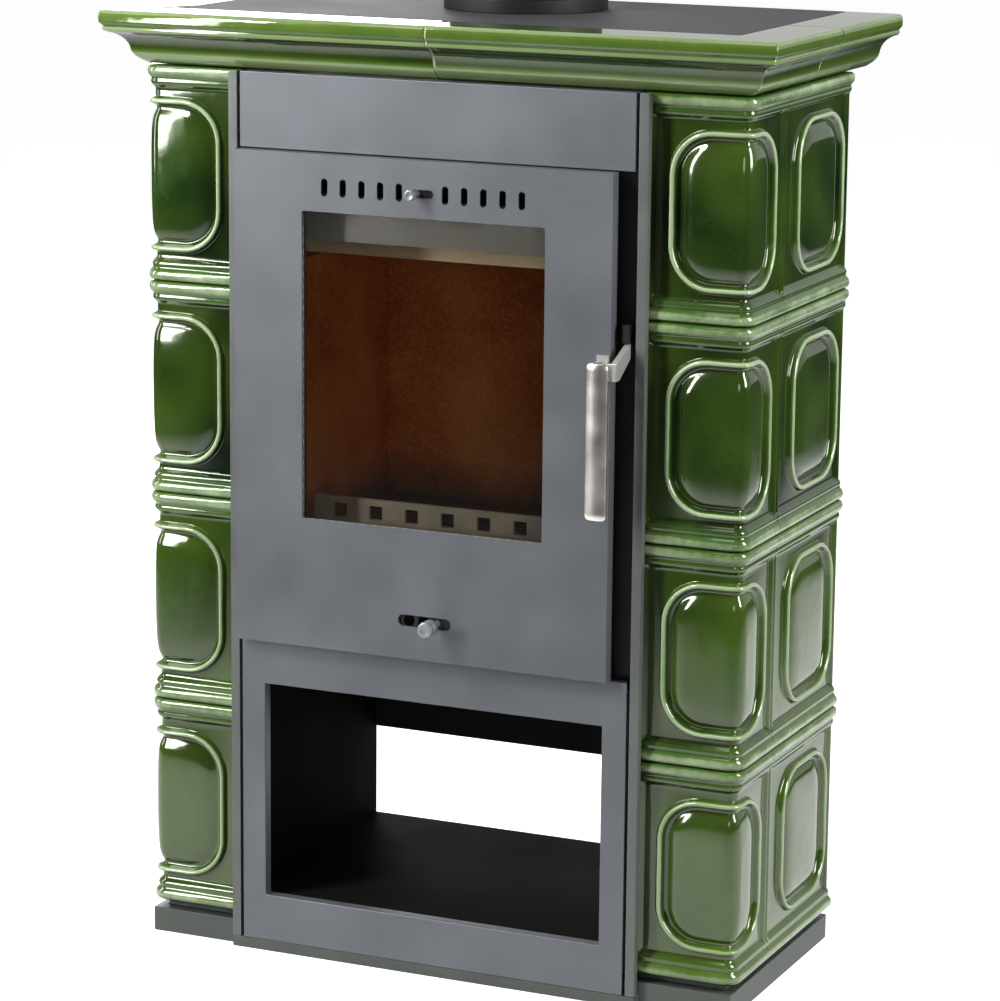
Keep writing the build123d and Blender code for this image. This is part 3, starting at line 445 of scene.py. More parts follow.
def makeCornerTile(t):
    radius = t["cornerRadius"]
    arc = radius * math.pi / 2
    front = t["faceX"] - t["cornerLeft"] - radius
    width = front + arc + t["cornerReturn"] - radius
    cuts = [front + arc * i / t["arcSteps"] for i in range(t["arcSteps"] + 1)]
    tile = makeFlatTile(t, "cornerTile", width, t["cornerRingMargins"], cuts)
    centreX, centreY = t["faceX"] - radius, t["faceY"] + radius
    innerX, innerY = t["faceX"] - t["wall"], t["faceY"] + t["wall"]

    def wrap(co):
        s, out, z = co.x / mm, -co.y / mm, co.z
        if out < -t["wall"] + 0.01:
            # the inner face meets in a sharp corner
            if s < front + arc / 2:
                return Vector((min(t["cornerLeft"] + s, innerX) * mm, innerY * mm, z))
            return Vector((innerX * mm, max(centreY + s - front - arc, innerY) * mm, z))
        if s <= front:
            return Vector(((t["cornerLeft"] + s) * mm, (t["faceY"] - out) * mm, z))
        if s >= front + arc:
            return Vector(((t["faceX"] + out) * mm, (centreY + s - front - arc) * mm, z))
        angle = (s - front) / radius
        return Vector(((centreX + (radius + out) * math.sin(angle)) * mm,
                       (centreY - (radius + out) * math.cos(angle)) * mm, z))

    moveVerts(tile, wrap)
    outwardNormals(tile)
    return tile


def makeSideTile(t):
    tile = makeFlatTile(t, "sideTile", t["sideRear"] - t["sideFront"], t["sideRingMargins"], ())
    moveVerts(tile, lambda co: Vector((t["faceX"] * mm - co.y, t["sideFront"] * mm + co.x, co.z)))
    outwardNormals(tile)
    return tile


def setOutTiles(t, material):
    masters = {"corner": makeCornerTile(t), "side": makeSideTile(t)}
    for kind, master in masters.items():
        shadeByAngle(master, t["smoothAngle"])
        for hand in ("right", "left"):
            for row in range(t["rows"]):
                tile = copyOf(master, f"{hand}{kind.capitalize()}Tile{row + 1}")
                lift = (t["firstBottom"] + row * t["pitch"]) * mm
                tile.data.transform(Matrix.Translation((0, 0, lift)))
                if hand == "left":
                    mirrorAcross(tile)
                # each tile takes its row's tone, varied a little at random
                shade = tile.data.attributes.new("glazeTone", "FLOAT", "POINT")
                tone = t["rowTones"][row] + random.uniform(-t["toneSpread"], t["toneSpread"])
                for value in shade.data:
                    value.value = tone
                dress(tile, material, "stove_body", [f"{hand}_{kind}_tile_{row + 1}"])
        bpy.data.objects.remove(master)
    print("tiles ready")


# materials: the real finish first, then its colours and marks

def objectPlace(material):
    return addNode(material, "ShaderNodeTexCoord").outputs["Object"]


def grainNoise(material, place, size, detail=2.0, stretch=None):
    # size in millimetres, stretch makes the grain run one way
    if stretch:
        place = addNode(material, "ShaderNodeMapping", {"Scale": stretch}, {"Vector": place}).outputs[0]
    noise = addNode(material, "ShaderNodeTexNoise", {"Scale": 1 / (size * mm), "Detail": detail}, {"Vector": place})
    return noise.outputs["Fac"]


def spread(material, value, low, high, fromLow=0.3, fromHigh=0.7):
    settings = {"From Min": fromLow, "From Max": fromHigh, "To Min": low, "To Max": high}
    return addNode(material, "ShaderNodeMapRange", settings, {"Value": value}).outputs[0]


def makeGlaze(name, pooledAndShaded, body, ridgeAndHighlight, bareAndHighlight, warm):
    # bottle-green glaze on fired clay: dark in the hollows, where it pools, with painted shade added there,
    # and pale on the crests, where it has run off, with painted highlight added there; a wet gloss and slow waves
    m = startMaterial(name)
    place = objectPlace(m)
    relief = addNode(m, "ShaderNodeAttribute", {"attribute_name": "relief"}).outputs["Fac"]
    glazeTone = addNode(m, "ShaderNodeAttribute", {"attribute_name": "glazeTone"}).outputs["Fac"]
    cloud = grainNoise(m, place, 45, 3.0)
    speck = grainNoise(m, place, 6)
    level = scaledSum(m, speck, 0.1, scaledSum(m, cloud, 0.3, relief))
    # the ramp paints shade into the hollows and highlight onto the crests, besides the glaze's own pooling and running
    # off
    color = rampBetween(m, level, ((0.1, pooledAndShaded), (0.45, body), (0.85, ridgeAndHighlight), (1.0, bareAndHighlight)))
    drift = grainNoise(m, place, 110, 1.0)
    share = spread(m, scaledSum(m, glazeTone, 0.35, drift), 0.0, 0.65, 0.3, 1.1)
    tinted = mixColor(m, share, color, warm)
    wave = grainNoise(m, place, 22, 1.0)
    bump = bumpFrom(m, wave, 0.4, 0.0008)
    rough = spread(m, cloud, 0.07, 0.15)
    shader = addNode(m, "ShaderNodeBsdfPrincipled",
                     {"IOR": 1.5, "Specular Tint": toLinear("#eef7de"), "Coat Weight": 0.45, "Coat Roughness": 0.04},
                     {"Base Color": tinted, "Roughness": rough, "Normal": bump})
    return finishMaterial(m, shader)


def makePaint(name, low, high, roughness, metallic, grain=0.5, bumpDepth=0.05, sheen=0.5):
    # stoved paint on sheet steel: fine even grain, slight cloudiness, satin to matt
    m = startMaterial(name)
    place = objectPlace(m)
    cloud = grainNoise(m, place, 90, 3.0)
    fine = grainNoise(m, place, grain)
    color = rampBetween(m, scaledSum(m, fine, 0.35, cloud), ((0.45, low), (0.9, high)))
    bump = bumpFrom(m, fine, 0.4, bumpDepth * mm)
    rough = spread(m, cloud, roughness - 0.04, roughness + 0.05)
    shader = addNode(m, "ShaderNodeBsdfPrincipled", {"Metallic": metallic, "Specular IOR Level": sheen},
                     {"Base Color": color, "Roughness": rough, "Normal": bump})
    return finishMaterial(m, shader)


def makeFirebrick(name, *tones):
    # vermiculite board: pressed flakes about 4 mm across, browned by the fire or still pale, sooty at the fire bed
    m = startMaterial(name)
    place = objectPlace(m)
    flakes = addNode(m, "ShaderNodeTexVoronoi", {"Scale": 1 / 0.004}, {"Vector": place}).outputs["Distance"]
    cloud = grainNoise(m, place, 130, 4.0)
    color = rampBetween(m, scaledSum(m, flakes, 0.25, cloud), list(zip((0.4, 0.6, 0.85), tones)))
    # the soot fades upwards between these heights, metres
    sootFull, sootGone = 0.468, 0.515
    height = addNode(m, "ShaderNodeSeparateXYZ", links={"Vector": place}).outputs["Z"]
    soot = spread(m, scaledSum(m, cloud, 0.05, height), 0.9, 0.0, sootFull, sootGone)
    color = mixColor(m, soot, color, "#120d0a")
    bump = bumpFrom(m, flakes, 0.5, 0.0005)
    shader = addNode(m, "ShaderNodeBsdfPrincipled", {"Roughness": 0.9, "Specular IOR Level": 0.2},
                     {"Base Color": color, "Normal": bump})
    return finishMaterial(m, shader)


def makeCastIron(name, low, high):
    # sand-cast iron: pitted about 1 mm apart, dull, ash-grey or sooty
    m = startMaterial(name)
    place = objectPlace(m)
    pits = grainNoise(m, place, 1.2, 4.0)
    cloud = grainNoise(m, place, 40)
    color = rampBetween(m, cloud, ((0.3, low), (0.7, high)))
    bump = bumpFrom(m, pits, 0.6, 0.0004)
    shader = addNode(m, "ShaderNodeBsdfPrincipled", {"Metallic": 0.3, "Roughness": 0.6},
                     {"Base Color": color, "Normal": bump})
    return finishMaterial(m, shader)


def makeZinc():
    # zinc-plated sheet: pale grey, spangle about 8 mm
    m = startMaterial("zincPlatedSteel")
    place = objectPlace(m)
    spangle = addNode(m, "ShaderNodeTexVoronoi", {"Scale": 1 / 0.008}, {"Vector": place}).outputs["Distance"]
    color = rampBetween(m, spangle, ((0.0, "#9a9c9c"), (0.8, "#b4b6b5")))
    rough = spread(m, spangle, 0.32, 0.5, 0.0, 1.0)
    shader = addNode(m, "ShaderNodeBsdfPrincipled", {"Metallic": 1.0}, {"Base Color": color, "Roughness": rough})
    return finishMaterial(m, shader)


def makePolishedSteel():
    # polished steel: bright mirror with a faint drawn grain along Z and finger haze
    m = startMaterial("polishedSteel")
    place = objectPlace(m)
    drawn = grainNoise(m, place, 0.8, 2.0, (1, 1, 0.04))
    haze = grainNoise(m, place, 25, 2.0)
    color = rampBetween(m, haze, ((0.3, "#cfcbc3"), (0.7, "#e4e0d9")))
    rough = spread(m, haze, 0.27, 0.33)
    bump = bumpFrom(m, drawn, 0.2, 0.00002)
    shader = addNode(m, "ShaderNodeBsdfPrincipled", {"Metallic": 1.0},
                     {"Base Color": color, "Roughness": rough, "Normal": bump})
    return finishMaterial(m, shader)


def makeStoveGlass():
    # clear glass-ceramic pane: slightly amber, faint soot haze at the edges of the fire
    m = startMaterial("glassCeramic")
    place = objectPlace(m)
    haze = grainNoise(m, place, 120, 3.0)
    tint = rampBetween(m, haze, ((0.3, "#f8f3ec"), (0.7, "#fcfaf6")))
    clear = addNode(m, "ShaderNodeBsdfTransparent", links={"Color": tint})
    shine = addNode(m, "ShaderNodeBsdfGlossy", {"Color": toLinear("#ffffff"), "Roughness": 0.03})
    edge = addNode(m, "ShaderNodeFresnel", {"IOR": 1.45})
    pane = addNode(m, "ShaderNodeMixShader", links={0: edge.outputs[0], 1: clear.outputs[0], 2: shine.outputs[0]})
    return finishMaterial(m, pane)


def makeRope():
    # knitted glass-fibre rope: stitches about 3 mm long
    m = startMaterial("knittedGlassFibre")
    place = objectPlace(m)
    knit = addNode(m, "ShaderNodeTexWave", {"wave_type": "BANDS", "bands_direction": "DIAGONAL", "Scale": 1 / 0.018,
                                            "Distortion": 2.0}, {"Vector": place}).outputs["Fac"]
    color = rampBetween(m, knit, ((0.2, "#3a3936"), (0.8, "#75736c")))
    bump = bumpFrom(m, knit, 0.6, 0.0006)
    shader = addNode(m, "ShaderNodeBsdfPrincipled", {"Roughness": 0.95, "Sheen Weight": 0.2},
                     {"Base Color": color, "Normal": bump})
    return finishMaterial(m, shader)


def makeGrout():
    # lime grout, sandy, toned green by glaze dust
    m = startMaterial("limeGrout")
    sand = grainNoise(m, objectPlace(m), 0.7, 3.0)
    color = rampBetween(m, sand, ((0.3, "#8d9a6c"), (0.7, "#b3bd92")))
    bump = bumpFrom(m, sand, 0.5, 0.0002)
    shader = addNode(m, "ShaderNodeBsdfPrincipled", {"Roughness": 0.8},
                     {"Base Color": color, "Normal": bump})
    return finishMaterial(m, shader)


finish = {
    "tiles": makeGlaze("bottleGreenGlaze", "#050c06", "#0d230c", "#3a5929", "#a2b38f", "#536d20"),
    "cornice": makeGlaze("oliveGreenGlaze", "#16250b", "#2e4317", "#5a7233", "#86986a", "#47601c"),
    "front": makePaint("satinGreyStovePaint", "#585b5f", "#64676c", 0.44, 0.45),
    "knob": makePaint("satinTurnedSteel", "#7d8084", "#8e9195", 0.33, 0.6, 0.3),
    "plated": makePaint("satinPlatedSteel", "#a9a9a5", "#bdbdb8", 0.34, 0.6, 0.3),
    "edge": makePaint("satinGreyStripPaint", "#535754", "#626662", 0.38, 0.2),
    "top": makePaint("mattGreyPlatePaint", "#38383a", "#444446", 0.6, 0.0, sheen=0.25),
    "plinth": makePaint("greyPlinthPaint", "#3f4440", "#4d524d", 0.45, 0.3),
    "carcass": makePaint("mattBlackPaint", "#050504", "#0c0b0a", 0.85, 0.0, 0.8, sheen=0.08),
    # paler than the black carcass paint: painted light, so that the back reads in its shade
    "back": makePaint("shadeLiftedGreyPaint", "#1f2021", "#2c2d2e", 0.7, 0.0, 0.8, sheen=0.25),
    "black": makePaint("stoveBlackPaint", "#060606", "#0d0d0d", 0.55, 0.0, 0.8, sheen=0.3),
    "firebox": makePaint("heatTintedSteel", "#4a4138", "#6b6459", 0.6, 0.3, 1.5, 0.1),
    "deflector": makePaint("heatGreyedSteel", "#959ca2", "#aab0b5", 0.5, 0.0, 1.0, 0.1),
    "brick": makeFirebrick("brownedVermiculite", "#a55a2a", "#c97c3f", "#d99a60"),
    "baffle": makeFirebrick("paleVermiculite", "#d6c8ac", "#e6dac0", "#efe5d0"),
    "iron": makeCastIron("ashGreyCastIron", "#97948a", "#b3b0a4"),
    "grate": makeCastIron("sootyCastIron", "#171513", "#26231f"),
    "zinc": makeZinc(),
    "chrome": makePolishedSteel(),
    "glass": makeStoveGlass(),
    "rope": makeRope(),
    "grout": makeGrout(),
}


def paintNodes(material, *names):
    for name in names:
        for slot in nodes[name].material_slots:
            slot.link = "OBJECT"
            slot.material = material


paintNodes(finish["carcass"], "carcass_sides", "carcass_top", "log_bay_floor", "firebox_floor_plate", "tile_rails")
paintNodes(finish["back"], "carcass_back")
paintNodes(finish["black"], "firebox_front_frame", "hinge_brackets", "latch_catch", "hinge_pins", "upper_air_slide",
           "lower_air_slide")
paintNodes(finish["firebox"], "firebox_shell", "firebox_shelves", "ash_pan", "door_rope_frame")
paintNodes(finish["deflector"], "air_wash_deflector")
paintNodes(finish["brick"], "fire_bricks")
paintNodes(finish["baffle"], "baffle")
paintNodes(finish["grate"], "grate")
paintNodes(finish["zinc"], "glass_retainers", "glass_screws", "slide_guides")
paintNodes(finish["plated"], "handle_bracket", "handle_pin")
paintNodes(finish["glass"], "door_glass")
paintNodes(finish["rope"], "door_rope_seal", "glass_gasket")
print("materials ready")

setOutTiles(tiles, finish["tiles"])


# cornice: two corner castings and two side lengths, with grout in their joints; millimetres

cornice = {
    "bottom": 914.0,
    "joint": 1.0,
    "sideJoint": 6.3,
    "rear": 188.7,
    "cornerRound": 2.5,
    "endRound": 0.7,
    # the grout's section shrinks towards this point of it, and it reaches this far into the castings
    "groutInset": 0.965,
    "core": (12.0, 36.0),
    "groutLap": 0.2,
    "smoothAngle": 42,
    # (overhang from the tile face, height, how far the glaze has run off: the pale top edge and bead are also painted
    # highlight, the dark cove painted shade)
    "section": (
        (-14, 0.6, 0.2), (1.2, 0.6, 0.2), (2.6, 0.9, 0.5), (5.2, 2.6, 0.8), (9.0, 5.0, 1.0), (12.6, 8.2, 1.0),
        (15.0, 11.4, 0.8), (16.3, 14.6, 0.4), (16.8, 17.4, 0.0), (18.0, 21.0, -0.1), (20.2, 24.6, -0.1),
        (23.4, 28.0, -0.1), (27.4, 30.8, 0.0), (31.4, 32.6, 0.1), (34.0, 33.4, 0.4), (36.0, 34.4, 0.9),
        (37.0, 36.0, 1.0), (36.9, 37.9, 0.8), (36.6, 39.4, 0.2), (37.6, 40.6, 0.2), (39.2, 42.0, 0.5),
        (39.9, 44.2, 0.5), (40, 48.0, 0.5), (39.8, 51.0, 0.6), (39.0, 53.2, 0.9), (37.4, 54.6, 1.0),
        (35.0, 55, 0.9), (30.0, 55, 0.5), (-18.5, 55, 0.5), (-20, 54.2, 0.8), (-20, 50, 0.2), (-32, 50, 0.2),
        (-32, 38, 0.2), (-14, 38, 0.2)),
}


def cornerOut(co):
    # overhang from the tile face, of either leg
    return max(co.x - tiles["faceX"] * mm, tiles["faceY"] * mm - co.y)


def makeMoulding(name, c, stations, shrink=1.0):
    section = c["section"]
    coreOut, coreUp = c["core"][0], c["bottom"] + c["core"][1]
    deselectAll()
    bpy.ops.mesh.primitive_circle_add(vertices=len(section), fill_type="NGON")
    piece = bpy.context.object
    piece.name = name
    start, *others = stations
    for vert, (out, up, runAndLight) in zip(piece.data.vertices, section):
        out = coreOut + (out - coreOut) * shrink
        up = coreUp + (c["bottom"] + up - coreUp) * shrink
        vert.co = start(Vector((out * mm, 0, up * mm)))
    useOnly(piece)
    bpy.ops.object.mode_set(mode="EDIT")
    bpy.ops.mesh.select_all(action="SELECT")
    for place in others:
        bpy.ops.mesh.extrude_region_move()
        mesh = bmesh.from_edit_mesh(piece.data)
        for vert in mesh.verts:
            if vert.select:
                vert.co = place(vert.co)
        bmesh.update_edit_mesh(piece.data)
    bpy.ops.mesh.select_all(action="SELECT")
    bpy.ops.mesh.normals_make_consistent(inside=False)
    bpy.ops.object.mode_set(mode="OBJECT")
    return piece


def roundEdges(piece, test, width, segments):
    # bevels the edges whose two ends pass the test
    useOnly(piece)
    bpy.ops.object.mode_set(mode="EDIT")
    mesh = bmesh.from_edit_mesh(piece.data)
    bpy.ops.mesh.select_mode(type="EDGE")
    bpy.ops.mesh.select_all(action="DESELECT")
    for edge in mesh.edges:
        edge.select_set(test(edge.verts[0].co, edge.verts[1].co))
    bmesh.update_edit_mesh(piece.data)
    bpy.ops.mesh.bevel(offset=width * mm, segments=segments, profile=0.5, affect="EDGES", clamp_overlap=True)
    bpy.ops.object.mode_set(mode="OBJECT")


def glazeRunAndLight(piece, section, bottom, tone):
    # how far the glaze has run off or pooled at each point, with the painted highlight and shade that go with it, read
    # from the nearest point of the section
    relief = piece.data.attributes.new("relief", "FLOAT", "POINT")
    shade = piece.data.attributes.new("glazeTone", "FLOAT", "POINT")
    for vert, value, fired in zip(piece.data.vertices, relief.data, shade.data):
        out, up = cornerOut(vert.co) / mm, vert.co.z / mm - bottom
        near = min(section, key=lambda p: (p[0] - out) ** 2 + (p[1] - up) ** 2)
        value.value = near[2]
        fired.value = tone


def setOutCornice(c):
    faceX, faceY = tiles["faceX"] * mm, tiles["faceY"] * mm

    def front(x):
        return lambda co: Vector((x * mm, faceY - co.x, co.z))

    def frontEnd(x):
        return lambda co: Vector((x * mm, co.y, co.z))

    def mitre(co):
        return Vector((faceX + faceY - co.y, co.y, co.z))

    def onMitre(co):
        return abs(co.x - faceX - (faceY - co.y)) < onPlane

    def side(y):
        return lambda co: Vector((co.x, y * mm, co.z))

    def sideStart(y):
        return lambda co: Vector((faceX + co.x, y * mm, co.z))

    jointY, gap = c["sideJoint"], c["joint"]
    corner = makeMoulding("corniceCorner", c, (front(gap), mitre, side(jointY - gap)))
    roundEdges(corner, lambda a, b: onMitre(a) and onMitre(b), c["cornerRound"], 3)
    length = makeMoulding("corniceLength", c, (sideStart(jointY + gap), side(c["rear"])))
    sides = {"frontCornice": (corner, "cornice_front_"), "sideCornice": (length, "cornice_side_")}
    for piece, ends in ((corner, (gap * mm, (jointY - gap) * mm)), (length, ((jointY + gap) * mm,))):
        for place in ends:
            roundEdges(piece, lambda a, b: max(abs(a.x - place), abs(b.x - place)) < onPlane
                       or max(abs(a.y - place), abs(b.y - place)) < onPlane, c["endRound"], 2)
    for name, (master, node) in sides.items():
        glazeRunAndLight(master, c["section"], c["bottom"], random.random())
        shadeByAngle(master, c["smoothAngle"])
        flatNormals(master)
        for hand in ("right", "left"):
            piece = copyOf(master, hand + name[0].upper() + name[1:])
            if hand == "left":
                mirrorAcross(piece)
            dress(piece, finish["cornice"], "stove_body", [node + hand])
        bpy.data.objects.remove(master)
    # grout, set back a little from the glaze
    inset, lap = c["groutInset"], c["groutLap"]
    middle = makeMoulding("frontJointGrout", c, (front(-gap - lap), frontEnd(gap + lap)), inset)
    right = makeMoulding("rightJointGrout", c, (sideStart(jointY - gap - lap), side(jointY + gap + lap)), inset)
    left = copyOf(right, "leftJointGrout")
    mirrorAcross(left)
    for piece in (middle, right, left):
        dress(piece, finish["grout"], "stove_body")
    print("cornice ready")


setOutCornice(cornice)


# steel pieces: the CAD shape with its folded and cut edges rounded

def softenedCopy(name, node, width):
    piece = copyOf(nodes[node], name)
    piece.parent = None
    for key in list(piece.keys()):
        del piece[key]
    for slot in piece.material_slots:
        slot.link = "DATA"
    useOnly(piece)
    bpy.ops.object.mode_set(mode="EDIT")
    bpy.ops.mesh.select_all(action="SELECT")
    bpy.ops.mesh.customdata_custom_splitnormals_clear()
    bpy.ops.mesh.remove_doubles(threshold=weld)
    bpy.ops.mesh.dissolve_limited(angle_limit=math.radians(1), delimit=set())
    bpy.ops.object.mode_set(mode="OBJECT")
    roundSharpEdges(piece, width, 2, 40)
    shadeByAngle(piece, 35)
    flatNormals(piece)
    return piece


sheets = {
    # piece: (node, edge radius in millimetres, finish, slot, body)
    "headerPanel": ("header_panel", 0.9, "front", "front_steel", "stove_body"),
    "logBayFront": ("log_bay_front", 0.9, "front", "front_steel", "stove_body"),
    "doorPanel": ("door_panel", 0.7, "front", "front_steel", "door"),
    "edgeStrips": ("edge_strips", 0.7, "edge", "edge_steel", "stove_body"),
    "basePlinth": ("base_plinth", 1.2, "plinth", "top_steel", "stove_body"),
    "topPlate": ("top_plate", 0.9, "top", "top_steel", "stove_body"),
    "flueCollar": ("flue_collar", 1.2, "black", "black_steel", "stove_body"),
    "logRetainer": ("log_retainer", 0.8, "iron", "cast_iron", "stove_body"),
    "handleHook": ("handle_hook", 0.9, "plated", "chrome", "handle"),
}


def setOutSheets(s):
    for name, (node, radius, paint, slot, body) in s.items():
        piece = softenedCopy(name, node, radius)
        dress(piece, finish[paint], body, [node])
    print("sheet steel ready")


setOutSheets(sheets)


# knobs and handle, millimetres

knobs = {
    "upperAirKnob": {"node": "upper_air_knob", "body": "upper_slide", "x": -12.0, "z": 804.5, "head": 5.5,
                     "shaft": 3.5, "front": -186.0, "neck": -178.0, "seat": -164.2, "paint": "knob"},
    "lowerAirKnob": {"node": "lower_air_knob", "body": "lower_slide", "x": 13.0, "z": 375.0, "head": 8.0,
                     "shaft": 3.5, "front": -199.0, "neck": -183.0, "seat": -164.2, "paint": "knob"},
}


# turned profile of both knobs
turning = {
    # shares of the head's radius: how round its rims are, and the waist of the grip groove
    "rim": 0.22,
    "waist": 0.94,
    # shares of its length: where the groove starts after the rim, and a quarter of the groove
    "grooveStart": 0.42,
    "grooveStep": 0.04,
    # front face: (inset as a share of the radius, depth in millimetres)
    "dish": ((0.12, 0.0), (0.18, -0.35), (0.25, -0.1)),
}


def makeKnob(name, k, t):
    # turned on a lathe: round bar, necked behind, dished in front
    deselectAll()
    depth = k["seat"] - k["neck"]
    bpy.ops.mesh.primitive_cylinder_add(vertices=roundSteps, radius=k["shaft"] * mm, depth=depth * mm,
                                        location=(k["x"] * mm, (k["neck"] + depth / 2) * mm, k["z"] * mm),
                                        rotation=(math.pi / 2, 0, 0))
    knob = bpy.context.object
    knob.name = name
    bpy.ops.object.transform_apply(location=True, rotation=True, scale=True)
    bpy.ops.object.mode_set(mode="EDIT")
    pickFaces(knob, lambda c, n: n.y < -0.9)
    head, length = k["head"], k["neck"] - k["front"]
    rim, waist, step = head * t["rim"], head * t["waist"], length * t["grooveStep"]
    groove = rim + length * t["grooveStart"]
    # (distance from the neck, radius): back face and its rim, the grip groove, the front rim
    profile = ((0, k["shaft"]), (0, head - rim), (rim * 0.3, head - rim * 0.3), (rim, head),
               (groove, head), (groove + step, waist), (groove + 3 * step, waist), (groove + 4 * step, head),
               (length - rim, head), (length - rim * 0.3, head - rim * 0.3), (length, head - rim))
    for (place, radius), (nextPlace, nextRadius) in zip(profile, profile[1:]):
        bpy.ops.mesh.extrude_region_move(TRANSFORM_OT_translate={"value": (0, (place - nextPlace) * mm, 0)})
        scale = nextRadius / radius
        bpy.ops.transform.resize(value=(scale, 1, scale))
    for inset, depth in t["dish"]:
        bpy.ops.mesh.inset(thickness=head * inset * mm, depth=depth * mm)
    bpy.ops.object.mode_set(mode="OBJECT")
    outwardNormals(knob)
    shadeByAngle(knob, 40)
    dress(knob, finish[k["paint"]], k["body"], [k["node"]])


for knobName, knobValues in knobs.items():
    makeKnob(knobName, knobValues, turning)


handle = {
    "left": 181.0,
    "right": 203.0,
    "front": -197.0,
    "back": -191.0,
    "bottom": 503.0,
    "top": 657.0,
    "cornerRound": 4.5,
    "crown": 2.4,
    # how far from each end the bar rolls off, and by how much
    "endRoll": (7.0, 1.2),
    "crownCuts": 8,
    "rollSteps": 5,
    "edgeRound": 0.9,
    "lug": (185.55, 190.95),
    "lugSink": 1.0,
    "pivot": (-183.0, 649.0),
    "lugRadius": 6.0,
    "pinRadius": 3.05,
}


def combine(piece, other, operation):
    joinTool = piece.modifiers.new("joinTool", "BOOLEAN")
    joinTool.operation = operation
    joinTool.solver = "EXACT"
    joinTool.object = other
    useOnly(piece)
    bpy.ops.object.modifier_apply(modifier="joinTool")
    bpy.data.objects.remove(other)


def addBlock(low, high):
    deselectAll()
    size = [(b - a) * mm for a, b in zip(low, high)]
    middle = [(a + b) / 2 * mm for a, b in zip(low, high)]
    bpy.ops.mesh.primitive_cube_add(size=1, location=middle, scale=size)
    bpy.ops.object.transform_apply(location=True, rotation=True, scale=True)
    return bpy.context.object


def addRod(radius, start, end):
    # round bar along X, Y or Z between two points
    deselectAll()
    a, b = Vector(start) * mm, Vector(end) * mm
    turn = (b - a).to_track_quat("Z", "Y").to_euler()
    bpy.ops.mesh.primitive_cylinder_add(vertices=roundSteps, radius=radius * mm, depth=(b - a).length,
                                        location=(a + b) / 2, rotation=turn)
    bpy.ops.object.transform_apply(location=True, rotation=True, scale=True)
    return bpy.context.object


def makeHandle(h):
    # polished bar, crowned across and rolled off at its ends, and behind it the lug that turns on the pin
    grip = addBlock((h["left"], h["front"], h["bottom"]), (h["right"], h["back"], h["top"]))
    grip.name = "handleGrip"
    roundEdges(grip, lambda a, b: abs(a.y - b.y) > 0.004, h["cornerRound"], 6)
    half, middle, (reach, drop) = (h["right"] - h["left"]) / 2, (h["right"] + h["left"]) / 2, h["endRoll"]
    useOnly(grip)
    bpy.ops.object.mode_set(mode="EDIT")
    cuts, steps = h["crownCuts"], h["rollSteps"]
    for i in range(1 - cuts, cuts):
        bpy.ops.mesh.select_all(action="SELECT")
        bpy.ops.mesh.bisect(plane_co=((middle + half * i / cuts) * mm, 0, 0), plane_no=(1, 0, 0))
    for i in range(1, steps + 1):
        for z in (h["bottom"] + reach * i / steps, h["top"] - reach * i / steps):
            bpy.ops.mesh.select_all(action="SELECT")
            bpy.ops.mesh.bisect(plane_co=(0, 0, z * mm), plane_no=(0, 0, 1))
    bpy.ops.object.mode_set(mode="OBJECT")
    for vert in grip.data.vertices:
        if vert.co.y < (h["front"] + 1) * mm:
            across = (vert.co.x / mm - middle) / half
            toEnd = min(vert.co.z / mm - h["bottom"], h["top"] - vert.co.z / mm)
            vert.co.y += (h["crown"] * across ** 2 + drop * max(1 - toEnd / reach, 0) ** 2) * mm
    roundSharpEdges(grip, h["edgeRound"], 3, 45)
    (pivotY, pivotZ), (left, right), radius = h["pivot"], h["lug"], h["lugRadius"]
    lug = addBlock((left, h["back"] - h["lugSink"], pivotZ - radius), (right, pivotY, pivotZ + radius))
    combine(lug, addRod(radius, (left, pivotY, pivotZ), (right, pivotY, pivotZ)), "UNION")
    combine(grip, lug, "UNION")
    combine(grip, addRod(h["pinRadius"], (h["left"], pivotY, pivotZ), (h["right"], pivotY, pivotZ)), "DIFFERENCE")
    outwardNormals(grip)
    shadeByAngle(grip, 40)
    flatNormals(grip)
    dress(grip, finish["chrome"], "handle", ["handle_grip"])


makeHandle(handle)
print("knobs and handle ready")


# stage and lamps

lighting = {
    # the floor as it is seen, and how bounced light finds it
    "floorColor": "#f0f0f0",
    "floorDim": "#303030",
    "floorSize": 40,
    "floorDrop": 0.0005,
    # the lit pool of floor that reflections and bounced light see: its centre, and where it fades from and to, metres
    "poolCentre": (0.0, 0.5, 0),
    "litFloor": (1.1, 2.4),
    "poolGlow": (0.8, 0.0),
    "floorGlow": 0.77,
    "worldLit": 0.22,
    # how bright reflections see the backdrop behind the stove, and the dark room in front of it
    "backSeen": 0.6,
    "roomSeen": 0.06,
    "backdropEdge": (-0.15, 0.25),
    "lamps": {
        # name: (place, aimed at, size, watts)
        "leftSoftbox": ((-1.68, -2.05, 1.35), (0, -0.1, 0.8), (0.42, 1.5), 56),
        "leftStrip": ((-2.4, -0.75, 1.3), (0, -0.15, 0.7), (0.3, 1.6), 20),
        "keySoftbox": ((-1.0, -1.35, 1.95), (-0.15, 0, 0.8), (0.36, 0.36), 33),
        "rightSoftbox": ((2.3, -0.25, 1.45), (0.33, -0.05, 0.75), (0.7, 1.4), 66),
        "topSoftbox": ((0.0, -1.5, 3.2), (0, 0, 0.8), (1.3, 0.8), 10),
        "frontFill": ((2.2, -3.8, 1.2), (0, 0, 0.75), (1.0, 1.0), 13),
        "rearSoftbox": ((-1.7, 2.6, 1.2), (0, 0.1, 0.6), (1.0, 1.2), 24),
    },
}


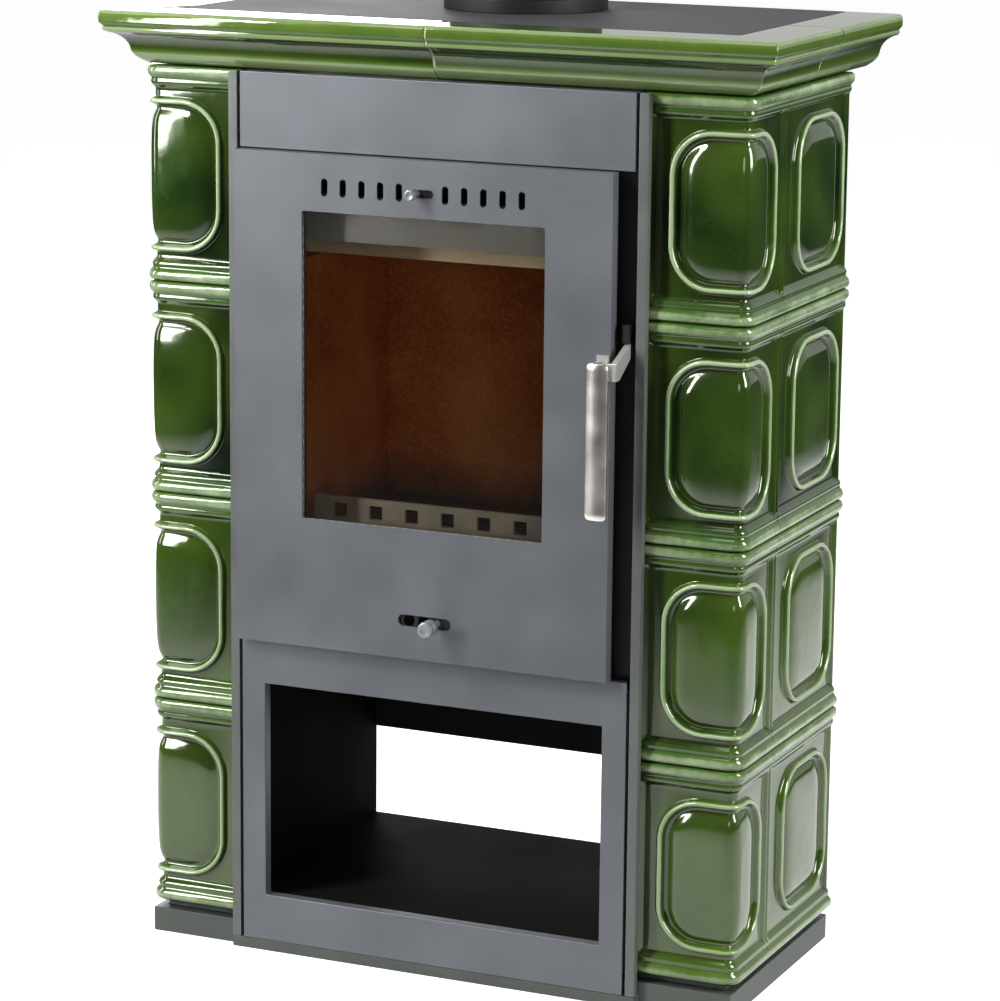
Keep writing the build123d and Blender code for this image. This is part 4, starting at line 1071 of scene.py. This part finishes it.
def makeStage(light):
    # pale floor that keeps the shadow; a white backdrop all round for the camera, and behind the stove for reflections
    deselectAll()
    bpy.ops.mesh.primitive_plane_add(size=light["floorSize"], location=(0, 0, -light["floorDrop"]))
    floor = bpy.context.object
    floor.name = "floor"
    m = startMaterial("paleFloorPaint")
    path = addNode(m, "ShaderNodeLightPath")
    fromCentre = {"operation": "DISTANCE", 1: light["poolCentre"]}
    reach = addNode(m, "ShaderNodeVectorMath", fromCentre, {0: objectPlace(m)}).outputs["Value"]
    pool = larger(m, spread(m, reach, *light["poolGlow"], *light["litFloor"]), path.outputs["Is Camera Ray"])
    seen = larger(m, path.outputs["Is Camera Ray"], mirroredRay(m, path))
    glow = addNode(m, "ShaderNodeMath", {"operation": "MULTIPLY"}, {0: seen, 1: pool})
    color = rampBetween(m, glow.outputs[0], ((0.0, light["floorDim"]), (1.0, light["floorColor"])))
    glow = addNode(m, "ShaderNodeMath", {"operation": "MULTIPLY", 1: light["floorGlow"]}, {0: glow.outputs[0]})
    lit = addNode(m, "ShaderNodeBsdfPrincipled", {"Roughness": 0.9, "Emission Color": (1, 1, 1, 1)},
                  {"Base Color": color, "Emission Strength": glow.outputs[0]})
    finishMaterial(m, lit)
    floor.data.materials.append(m)
    world = bpy.data.worlds.new("studio")
    bpy.context.scene.world = world
    world.use_nodes = True
    world.node_tree.nodes.clear()
    path = addNode(world, "ShaderNodeLightPath")
    toward = addNode(world, "ShaderNodeTexCoord").outputs["Generated"]
    toward = addNode(world, "ShaderNodeSeparateXYZ", links={"Vector": toward}).outputs["Y"]
    backdrop = spread(world, toward, light["roomSeen"], light["backSeen"], *light["backdropEdge"])
    share = addNode(world, "ShaderNodeMapRange", {"To Min": light["worldLit"]},
                    {"Value": mirroredRay(world, path), "To Max": backdrop}).outputs[0]
    strength = larger(world, share, path.outputs["Is Camera Ray"])
    sky = addNode(world, "ShaderNodeBackground", {"Color": (1, 1, 1, 1)}, {"Strength": strength})
    addNode(world, "ShaderNodeOutputWorld", links={"Surface": sky.outputs[0]})


def makeLamp(name, place, target, size, power):
    light = bpy.data.lights.new(name, "AREA")
    light.shape = "RECTANGLE"
    light.size, light.size_y = size
    light.energy = power
    lamp = bpy.data.objects.new(name, light)
    bpy.context.scene.collection.objects.link(lamp)
    lamp.location = place
    lamp.rotation_euler = (Vector(target) - Vector(place)).to_track_quat("-Z", "Y").to_euler()


makeStage(lighting)
for lampName, lampValues in lighting["lamps"].items():
    makeLamp(lampName, *lampValues)
print("stage ready")
